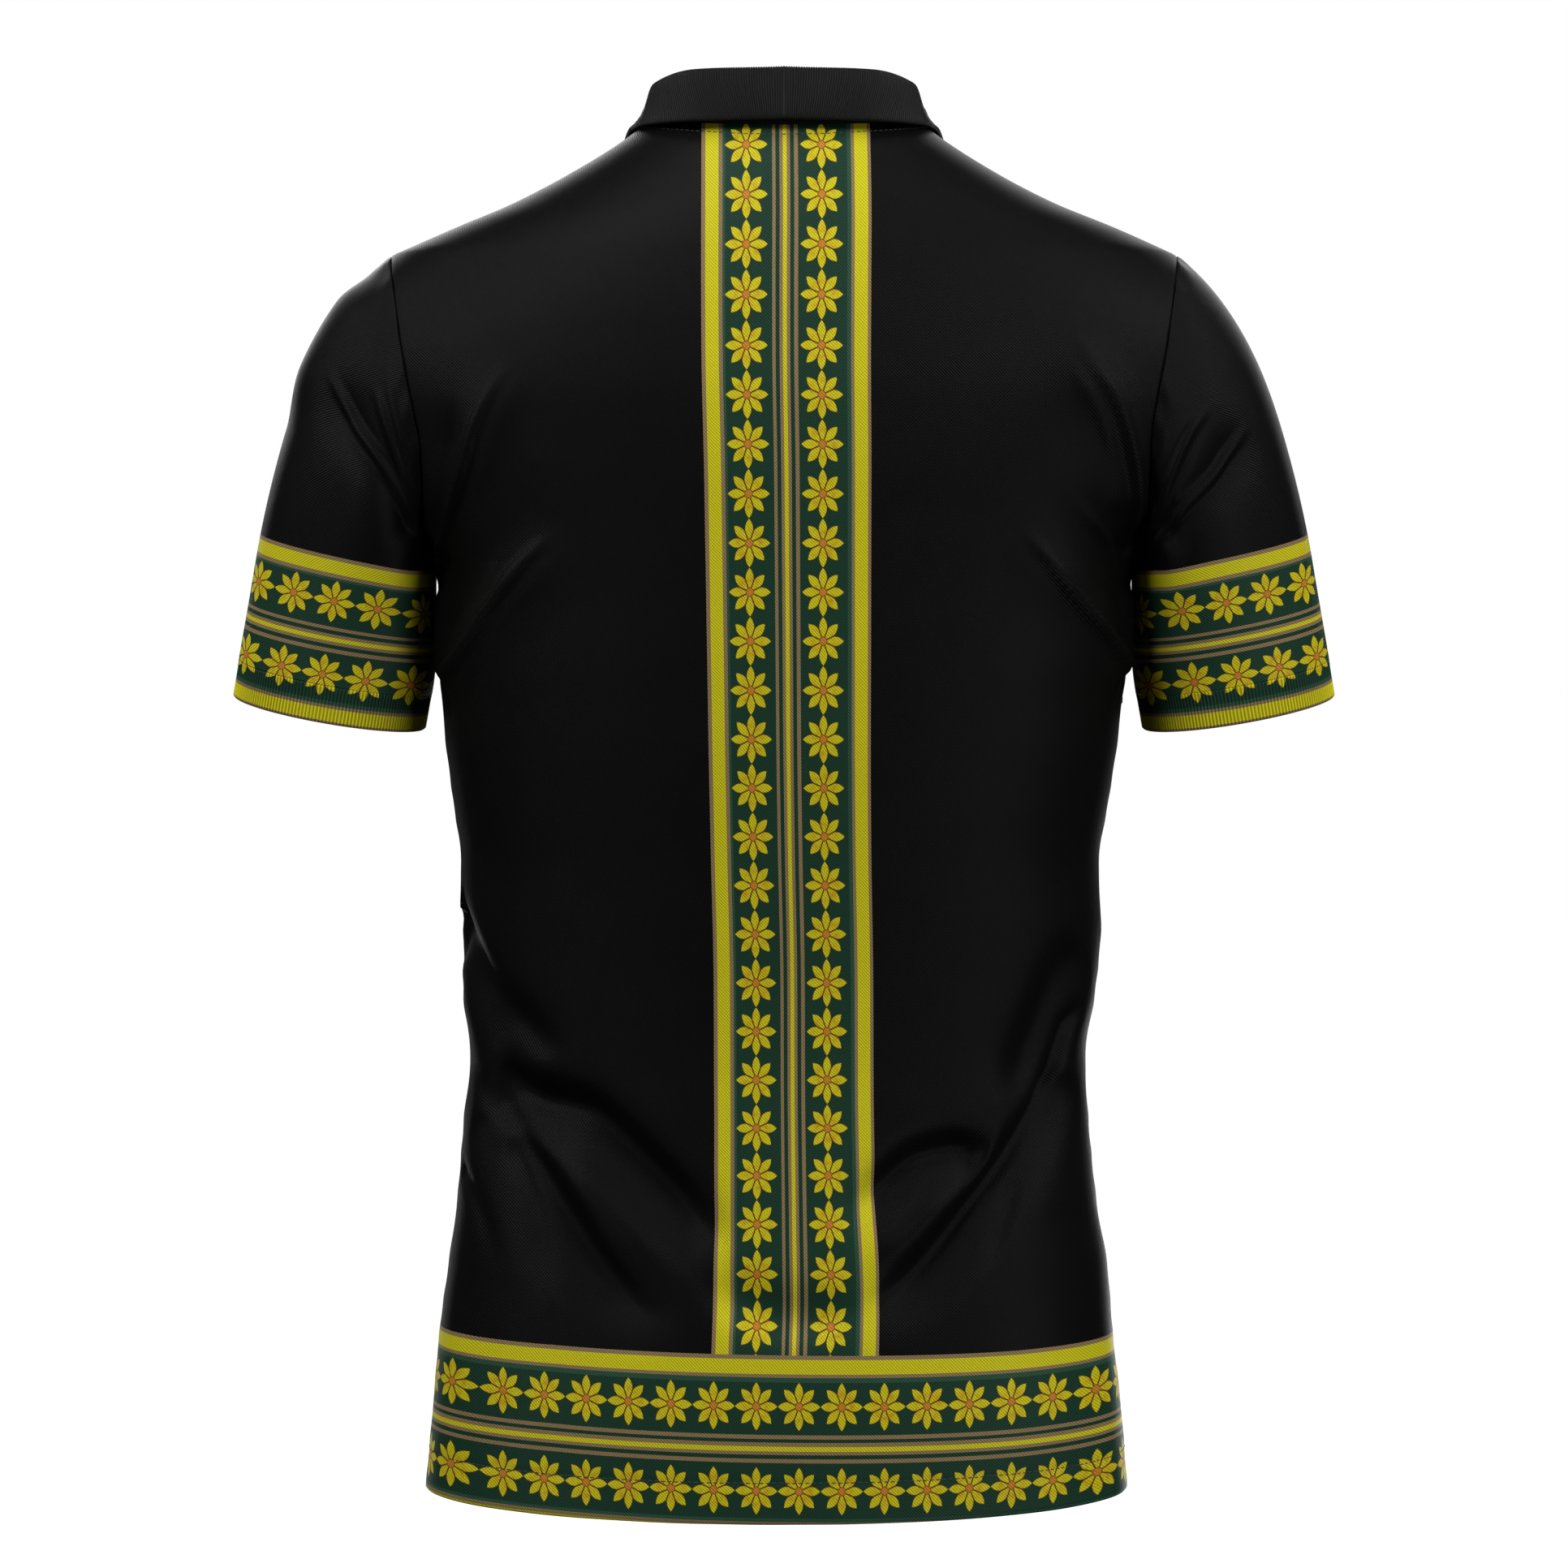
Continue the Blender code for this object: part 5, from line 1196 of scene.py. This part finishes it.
def add_stitches(name, lines, kind, look):
    """Rows of separate stitches along lines on the cloth."""
    turn = np.linspace(0, 2 * np.pi, SIDES_OF_THREAD + 1)[:-1]
    ends, fat, dip = np.array(STITCH_FORM).T
    points, faces = [], []
    cell = np.arange(len(ends) - 1)[:, None] * SIDES_OF_THREAD
    side = np.arange(SIDES_OF_THREAD)[None]
    next_side = (side + 1) % SIDES_OF_THREAD
    beyond = cell + SIDES_OF_THREAD
    quads = np.stack((cell + side, cell + next_side, beyond + next_side, beyond + side), -1)
    quads = quads.reshape(-1, 4)
    each = len(ends) * SIDES_OF_THREAD
    for line, normals in lines:
        run = run_length(line)
        count = int(run[-1] / (kind.length + kind.space))
        middles = (np.arange(count) + 0.5) * run[-1] / count
        ends_at = np.clip(middles[:, None] + ends * kind.length, 0, run[-1])
        spine = np.stack([np.interp(ends_at, run, part) for part in line.T], -1)
        out = unit(np.stack([np.interp(ends_at, run, part) for part in normals.T], -1))
        ahead = unit(spine[:, -1:] - spine[:, :1])
        beside = unit(np.cross(out, ahead))
        spine = spine + out * (kind.radius * (0.5 + dip))[None, :, None]
        ring = (np.cos(turn)[:, None] * beside[:, :, None] + np.sin(turn)[:, None] * out[:, :, None])
        rings = spine[:, :, None] + ring * (kind.radius * fat)[None, :, None, None]
        start = sum(len(part) for part in points) + np.arange(count)[:, None, None] * each
        faces.append((start + quads).reshape(-1, 4))
        points.append(rings.reshape(-1, 3))
    points = (np.concatenate(points) - np.array((0.0, 0.0, NECK_POINT))) * CM
    first = np.arange(0, len(points), each)[:, None]
    caps = np.concatenate((first + side[:, ::-1], first + beyond[-1] + side))
    mesh = bpy.data.meshes.new(name)
    mesh.from_pydata(points.tolist(), [], np.concatenate(faces).tolist() + caps.tolist())
    mesh.materials.append(look)
    mesh.shade_smooth()
    add_piece(name, mesh)


def feed(tree, socket, value):
    """Gives a node's input a worked-out value, a node's output, a colour or a number."""
    value = value.socket if isinstance(value, Value) else value
    if isinstance(value, bpy.types.NodeSocket):
        tree.links.new(value, socket)
    else:
        socket.default_value = value


class Value:
    """A number that a material's nodes work out, written as in a sum."""

    def __init__(self, tree, socket):
        self.tree, self.socket = tree, socket

    def do(self, operation, *others, clamp=False):
        """One step of arithmetic."""
        node = self.tree.nodes.new("ShaderNodeMath")
        node.operation, node.use_clamp = operation, clamp
        for place, value in enumerate((self, *others)):
            feed(self.tree, node.inputs[place], value)
        return Value(self.tree, node.outputs[0])

    def __add__(self, other):
        return self.do("ADD", other)

    def __sub__(self, other):
        return self.do("SUBTRACT", other)

    def __mul__(self, other):
        return self.do("MULTIPLY", other)

    def __truediv__(self, other):
        return self.do("DIVIDE", other)

    def __gt__(self, other):
        return self.do("GREATER_THAN", other)


def mixed(share, first, second):
    """A colour between two, by a worked-out share."""
    tree = share.tree
    node = tree.nodes.new("ShaderNodeMix")
    node.data_type = "RGBA"
    feed(tree, node.inputs[0], share)
    for place, colour in ((6, first), (7, second)):
        feed(tree, node.inputs[place], (*colour, 1.0) if isinstance(colour, tuple) else colour)
    return node.outputs[2]


def stripes_at(across, band):
    """The stripes' colour at a place across a band."""
    tree = across.tree
    total = sum(stripe.width for stripe in band.stripes) * band.scale
    share = across / total
    node = tree.nodes.new("ShaderNodeValToRGB")
    ramp = node.color_ramp
    ramp.interpolation = "CONSTANT"
    feed(tree, node.inputs[0], share)
    edge = 0.0
    for place, stripe in enumerate(band.stripes):
        if place < 2:
            stop = ramp.elements[place]
            stop.position = edge / total
        else:
            stop = ramp.elements.new(edge / total)
        stop.color = (*stripe.colour, 1.0)
        edge += stripe.width * band.scale
    return node.outputs[0], total


def noise(tree, scale, detail=2.0):
    """Noise over the object's own coordinates, from 0 to 1."""
    coordinates = tree.nodes.new("ShaderNodeTexCoord")
    node = tree.nodes.new("ShaderNodeTexNoise")
    node.inputs["Scale"].default_value = scale
    node.inputs["Detail"].default_value = detail
    tree.links.new(coordinates.outputs["Object"], node.inputs["Vector"])
    return Value(tree, node.outputs[0])


def printed(ground, across, along, band):
    """A band with its two rows of eight-petalled flowers, over a ground colour."""
    colour, total = stripes_at(across, band)
    first, second = ((across - row).do("ABSOLUTE") for row in band.rows)
    x = first.do("MINIMUM", second) / band.half
    y = ((along - band.first) / band.pitch + 0.5).do("FRACT") - 0.5
    y = y.do("ABSOLUTE") * 2.0
    radius = (x * x + y * y).do("SQRT")
    turn = x.do("ARCTAN2", y) / (np.pi / 4)
    off = (turn - turn.do("ROUND")).do("ABSOLUTE") * (np.pi / 4)
    ahead = (radius * off.do("COSINE")).do("MINIMUM", 1.0)
    beside = radius * off.do("SINE")
    bulge = ahead.do("POWER", PETAL_POWER)
    almond = (bulge - bulge * bulge) * PETAL_WIDTH
    sector = ahead * PETAL_SLOPE - PETAL_GAP
    inside = almond.do("MINIMUM", sector) - beside
    tint = (noise(across.tree, FLECK_GRAIN) - FLECK_FROM).do("MULTIPLY", FLECK_RISE, clamp=True)
    tint = tint * ((ahead - 0.5).do("ABSOLUTE") * -FLECK_RISE + 1.0).do("MAXIMUM", 0.0)
    yellow = mixed(tint, YELLOW, FLECK)
    colour = mixed(inside > 0.0, colour, OUTLINE)
    colour = mixed(inside > OUTLINE_WIDTH, colour, yellow)
    colour = mixed((radius * -1.0) > -RING_RADIUS, colour, DISC_RING)
    colour = mixed((radius * -1.0) > -DISC_RADIUS, colour, DISC)
    cover = (across > 0.0) * ((across * -1.0) > -total)
    return mixed(cover, ground, colour)


def cut_places(tree):
    """Places on the cut, across or round, and up, in centimetres."""
    node = tree.nodes.new("ShaderNodeUVMap")
    node.uv_map = "Cut"
    parts = tree.nodes.new("ShaderNodeSeparateXYZ")
    tree.links.new(node.outputs[0], parts.inputs[0])
    return Value(tree, parts.outputs[0]), Value(tree, parts.outputs[1])


def knit(across, up):
    """Fine diagonal lines of the knit, from 0 in a groove to 1 on a thread."""
    line = ((across - up) * (2 * np.pi / KNIT_PITCH)).do("SINE") * 0.5 + 0.5
    loop = ((across + up) * (2 * np.pi / (KNIT_PITCH * KNIT_CROSSING))).do("SINE") * 0.15 + 0.85
    return line * loop


def new_look(name):
    """A material, its nodes and its shader."""
    material = bpy.data.materials.new(name)
    material.use_nodes = True
    return material, material.node_tree, material.node_tree.nodes["Principled BSDF"]


def shaded(colour, *shares):
    """A colour made darker or lighter, once for each share."""
    return [tuple(share * part for part in colour) for share in shares]


def cloth_look(name, ground, bands=(), ribs=False):
    """Knit cloth: its print, its diagonal lines or ribs with painted shade in their grooves, and a soft
    sheen.
    """
    material, tree, shader = new_look(name)
    across, up = cut_places(tree)
    wear = noise(tree, WEAR_GRAIN, 3.0)
    colour = mixed(wear, *shaded(ground, WEAR_DARK, WEAR_LIGHT))
    for kind in bands:
        if kind is DOWN_BACK:
            colour = printed(colour, up * DOWN_BACK_DRIFT - across + DOWN_BACK_EDGE, up, kind)
        else:
            top = HEM_BAND_TOP if kind is ROUND_HEM else SLEEVE_BAND_TOP
            colour = printed(colour, up * -1.0 + top, across, kind)
    if ribs:
        rib = tree.nodes.new("ShaderNodeAttribute")
        rib.attribute_name = "rib"
        thread = Value(tree, rib.outputs["Fac"]) * 0.5 + 0.5
    else:
        thread = knit(across, up)
    # Painted shade: the colour is darkened towards black in the grooves between threads and between ribs
    groove_shade = RIB_GROOVE_SHADE if ribs else KNIT_GROOVE_SHADE
    colour = mixed(thread * -groove_shade + groove_shade, colour, (0.0, 0.0, 0.0))
    bump = tree.nodes.new("ShaderNodeBump")
    feed(tree, bump.inputs["Strength"], RELIEF)
    feed(tree, bump.inputs["Distance"], RELIEF_HEIGHT)
    feed(tree, bump.inputs["Height"], thread + noise(tree, FUZZ_GRAIN, 3.0) * FUZZ)
    feed(tree, shader.inputs["Base Color"], colour)
    feed(tree, shader.inputs["Roughness"], thread * -THREAD_GLOSS + CLOTH_ROUGH)
    feed(tree, shader.inputs["Specular IOR Level"], CLOTH_SPECULAR)
    feed(tree, shader.inputs["Normal"], bump.outputs[0])
    return material


def plain_look(name, colour, roughness, specular, grain):
    """A plain surface with fine uneven grain in its colour and gloss."""
    material, tree, shader = new_look(name)
    speck = noise(tree, grain, 3.0)
    feed(tree, shader.inputs["Base Color"], mixed(speck, *shaded(colour, GRAIN_DARK, GRAIN_LIGHT)))
    feed(tree, shader.inputs["Roughness"], speck * (2 * GRAIN_ROUGH) + (roughness - GRAIN_ROUGH))
    feed(tree, shader.inputs["Specular IOR Level"], specular)
    return material


def button_mesh(name, look, hole_shade_look):
    """A turned button with a rim, a dished middle and four shallow holes coloured with painted shade, seen
    from its axis.
    """
    reach = np.concatenate((np.linspace(0.0, 0.4, 26), BUTTON_RINGS))
    level = np.interp(reach, *np.array(BUTTON_TOP).T)
    level[-len(BUTTON_SIDE):] = BUTTON_SIDE
    turn = np.linspace(0, 2 * np.pi, BUTTON_SEGMENTS + 1)[:-1]
    x = BUTTON_RADIUS * reach[1:-1, None] * np.cos(turn)
    y = BUTTON_RADIUS * reach[1:-1, None] * np.sin(turn)
    z = BUTTON_THICKNESS * level[1:-1, None] + 0 * x
    apart = np.hypot(np.abs(x) - HOLE_PLACE, np.abs(y) - HOLE_PLACE)
    depth = ease((HOLE_RADIUS - apart) / HOLE_EDGE)
    z = z - HOLE_DEPTH * depth
    points = np.stack((x, y, z), -1).reshape(-1, 3)
    middle = (0.0, 0.0, BUTTON_THICKNESS * level[0]), (0.0, 0.0, 0.0)
    points = np.concatenate((points, middle)) * CM
    rings, around = x.shape
    i, j = np.meshgrid(np.arange(rings - 1), np.arange(around), indexing="ij")
    k = (j + 1) % around
    row, after = i * around, (i + 1) * around
    quads = np.stack((row + j, after + j, after + k, row + k), -1).reshape(-1, 4)
    last = (rings - 1) * around
    face = [(rings * around, n, (n + 1) % around) for n in range(around)]
    base = [(last + (n + 1) % around, last + n, rings * around + 1) for n in range(around)]
    mesh = bpy.data.meshes.new(name)
    mesh.from_pydata(points.tolist(), [], quads.tolist() + face + base)
    mesh.materials.append(look)
    mesh.materials.append(hole_shade_look)
    # The holes' sunk faces take the near-black look: painted shade in place of holes through the button
    sunk_shaded = np.concatenate(((depth > 0.6).ravel(), (False, False)))
    index = [int(all(sunk_shaded[v] for v in polygon.vertices)) for polygon in mesh.polygons]
    mesh.polygons.foreach_set("material_index", np.array(index, np.int32))
    mesh.shade_smooth()
    return mesh


def add_seaming(back, front, sleeves, look):
    """Thread that overcasts the seams inside, between walls given as outer and inner points."""
    between = [(one + other) / 2 for one, other in zip(back, front)]
    pairs = []
    for edge, _, shoulder in SIDES:
        pairs.append(tuple(part[LOW_ROWS, edge] for part in between))
        pairs.append(tuple(part[TOP_ROW, shoulder] for part in between))
    for wall, columns in ((back, np.arange(NECK_RIGHT, NECK_LEFT + 1)),
                          (front, np.arange(NECK_RIGHT, HALF - PLACKET_CELLS + 1)),
                          (front, np.arange(HALF + PLACKET_CELLS, NECK_LEFT + 1))):
        pairs.append((wall[0][TOP_ROW, columns], wall[1][TOP_ROW, columns]))
    for hand, sleeve in sleeves:
        up, down, edge, _ = armhole_loop(hand)
        loops = [np.concatenate((back[part][up, edge], front[part][down, edge])) for part in (0, 1)]
        ends = [(loop + part[0]) / 2 for loop, part in zip(loops, sleeve)]
        pairs.append(tuple(np.concatenate((end, end[:1])) for end in ends))
    lines = [(inner, unit(inner - outer)) for outer, inner in pairs]
    add_stitches("seam_overcasting", lines, SEAMING, look)


def add_buttons(look, hole_shade_look, thread_look):
    """The fastened buttons, the thread through them, and the buttonholes behind them."""
    crosses, buttonholes = [], []
    turn = np.linspace(0, 2 * np.pi, 61)
    for number, height in enumerate(BUTTON_HEIGHTS, start=1):
        low, seat, high = on_panel(0.0, height + np.array((-0.5, 0.0, 0.5)), FRONT)
        right, up = np.array((1.0, 0.0, 0.0)), unit(high - low)
        outward = np.cross(right, up)
        place = seat + outward * (CLOTH + 2 * GAP)
        name = f"button_{number}_turned"
        mesh = button_mesh(name, look, hole_shade_look)
        mesh.transform(Vector(outward).to_track_quat("Z", "Y").to_matrix().to_4x4())
        mesh.transform(Matrix.Translation(((place - np.array((0.0, 0.0, NECK_POINT))) * CM).tolist()))
        add_piece(name, mesh, f"button_{number}")
        for slope in (1.0, -1.0):
            share = np.linspace(-HOLE_PLACE, HOLE_PLACE, 5)[:, None]
            line = place + outward * BUTTON_THICKNESS * CROSS_LEVEL + right * share + up * share * slope
            crosses.append((line, np.broadcast_to(outward, line.shape)))
        x, y = np.cos(turn) * BUTTONHOLE_HALF_WIDTH, np.sin(turn) * BUTTONHOLE_HALF_HEIGHT
        line = on_panel(x, height + y * up[2], FRONT) + outward * (CLOTH + GAP)
        buttonholes.append((line, np.broadcast_to(outward, line.shape)))
    add_stitches("button_threads", crosses, CROSS, thread_look)
    add_stitches("buttonhole_stitches", buttonholes, TACK, thread_look)


def main():
    """Builds every piece."""
    black = cloth_look("knit", BLACK)
    backs = cloth_look("knit_back", BLACK, (DOWN_BACK, ROUND_HEM))
    fronts = cloth_look("knit_front", BLACK, (ROUND_HEM,))
    sleeves = cloth_look("knit_sleeve", BLACK, (ROUND_SLEEVE,))
    cuffs = cloth_look("rib_cuff", RIB_BLACK, (ROUND_SLEEVE,), ribs=True)
    collars = cloth_look("rib_collar", RIB_BLACK, ribs=True)
    thread = plain_look("thread", THREAD, 0.7, 0.3, 900.0)
    seaming = plain_look("seam_thread", BLACK, 0.7, 0.1, 900.0)
    button = plain_look("button", BUTTON_BLACK, 0.3, 0.5, 60.0)
    hole_shade = plain_look("button_hole_shade", HOLE_SHADE_BLACK, 0.6, 0.2, 60.0)

    back, front, (back_cut, front_cut) = make_panels()
    sleeve_walls = []
    for hand, side in ((LEFT, "left"), (RIGHT, "right")):
        sleeve, cut = make_sleeve(back, front, hand)
        sleeve_walls.append((hand, sleeve.wall(CLOTH)))
        add_shell(f"sleeve_{side}_cloth", f"sleeve_{side}", "knit", sleeve.wall(CLOTH), cut,
                  (sleeves, black), closed=True, seams=(-1,))
        cuff, cut = make_cuff(hand)
        walls, cut = ribbed(cuff.wall(RIB), cut, CUFF_RELIEF * ease(cuff_down() / CUFF_STEP_OVER))
        add_shell(f"cuff_{side}_rib", f"cuff_{side}", "rib", walls, cut, (cuffs, collars),
                  closed=True, seams=(0,))

    collar, cut = make_collar(back, front)
    walls, cut = ribbed(collar.wall(RIB), cut, COLLAR_RELIEF)
    add_shell("collar_rib", "collar", "rib", walls, cut, (collars,),
              shown=0.3)

    thickness = np.full(back.points.shape[:2] + (1,), CLOTH)
    thickness[:ARM_ROW + 1][row_heights() <= HEM_TURN + 0.01] = HEM_CLOTH
    back_walls, front_walls = back.wall(thickness), front.wall(thickness)
    add_shell("back_cloth", "back", "knit", back_walls, pulled(back_cut), (backs, black))
    cells = np.ones((TOP_ROW + 2, LAST_COLUMN + 2), bool)
    cells[ARM_ROW + PLACKET_ROW + 1:, HALF - PLACKET_CELLS + 1:HALF + PLACKET_CELLS + 1] = False
    add_shell("front_cloth", "front", "knit", front_walls, front_cut, (fronts, black),
              cells=cells)

    under, cut = strip_sheet(PLACKET_HALF - GAP, GAP)
    add_shell("placket_under_cloth", "placket_under", "knit", under.wall(CLOTH), cut, (black,))
    over, cut = strip_sheet(PLACKET_HALF + OVERLAP, -3 * OVERLAP)
    over_walls = over.wall(CLOTH, lift=CLOTH + GAP)
    add_shell("placket_over_cloth", "placket_over", "knit", over_walls, cut, (black,))
    add_buttons(button, hole_shade, thread)

    add_seaming(back_walls, front_walls, sleeve_walls, seaming)
    hem_row = int(np.argmin(np.abs(row_heights() - HEM_TURN)))
    hem_lines = [(walls[0][hem_row, 1:-1], sheet.normals[hem_row, 1:-1])
                 for walls, sheet in ((back_walls, back), (front_walls, front))]
    add_stitches("hem_stitches", hem_lines, TOPSTITCH, thread)
    nape = np.s_[ARM_ROW:, NECK_RIGHT:NECK_LEFT + 1]
    neck_line = inset_line(back_walls[0][nape], back.normals[nape], NECK_STITCH_DROP, from_end=True)
    add_stitches("neck_stitches", [neck_line], TOPSTITCH, thread)
    strip, normals = over_walls[0], over.normals
    sideways = np.swapaxes(strip, 0, 1), np.swapaxes(normals, 0, 1)
    lines = [inset_line(*sideways, STRIP_STITCH_INSET, from_end=end) for end in (False, True)]
    lines += [inset_line(strip[:, 1:-1], normals[:, 1:-1], drop) for drop in (STRIP_STITCH_INSET, BOX_HEIGHT)]
    add_stitches("placket_stitches", lines, TOPSTITCH, thread)


def add_studio():
    """Camera behind the shirt, soft lights all round, a pale floor and a white surround."""
    scene = bpy.context.scene
    data = bpy.data.cameras.new("camera")
    data.sensor_width = SENSOR
    data.lens = SENSOR * CAMERA_PLACE[1] / CAMERA_SEES
    camera = bpy.data.objects.new("camera", data)
    camera.location = CAMERA_PLACE
    camera.rotation_euler = (np.pi / 2, 0.0, np.pi)
    scene.collection.objects.link(camera)
    scene.camera = camera
    scene.view_settings.view_transform = "Standard"

    for light in LIGHTS:
        data = bpy.data.lights.new(light.name, "AREA")
        data.shape, data.size, data.energy = "SQUARE", light.size, light.power
        lamp = bpy.data.objects.new(light.name, data)
        lamp.location = light.place
        lamp.rotation_mode = "QUATERNION"
        lamp.rotation_quaternion = (Vector(LIT) - Vector(light.place)).to_track_quat("-Z", "Y")
        scene.collection.objects.link(lamp)

    world = bpy.data.worlds.new("studio")
    world.use_nodes = True
    tree = world.node_tree
    ground = tree.nodes["Background"]
    feed(tree, ground.inputs["Color"], WHITE)
    path = tree.nodes.new("ShaderNodeLightPath")
    strength = tree.nodes.new("ShaderNodeMapRange")
    feed(tree, strength.inputs["To Min"], SURROUND_LIGHT)
    feed(tree, strength.inputs["To Max"], 1.0)
    feed(tree, strength.inputs["Value"], path.outputs["Is Camera Ray"])
    feed(tree, ground.inputs["Strength"], strength.outputs[0])
    scene.world = world

    floor_mesh = bpy.data.meshes.new("floor")
    level = cad_box[0].z - FLOOR_DROP
    corners = ((-1, -1), (1, -1), (1, 1), (-1, 1))
    corners = [(x * FLOOR_REACH, y * FLOOR_REACH, level) for x, y in corners]
    floor_mesh.from_pydata(corners, [], [(0, 1, 2, 3)])
    floor = bpy.data.objects.new("floor", floor_mesh)
    scene.collection.objects.link(floor)
    look = plain_look("floor", (0.72, 0.72, 0.72), 0.8, 0.1, 3.0)
    shader = look.node_tree.nodes["Principled BSDF"]
    shader.inputs["Emission Color"].default_value = WHITE
    shader.inputs["Emission Strength"].default_value = 1.0
    floor_mesh.materials.append(look)
    floor.visible_diffuse = floor.visible_glossy = False


main()
add_studio()
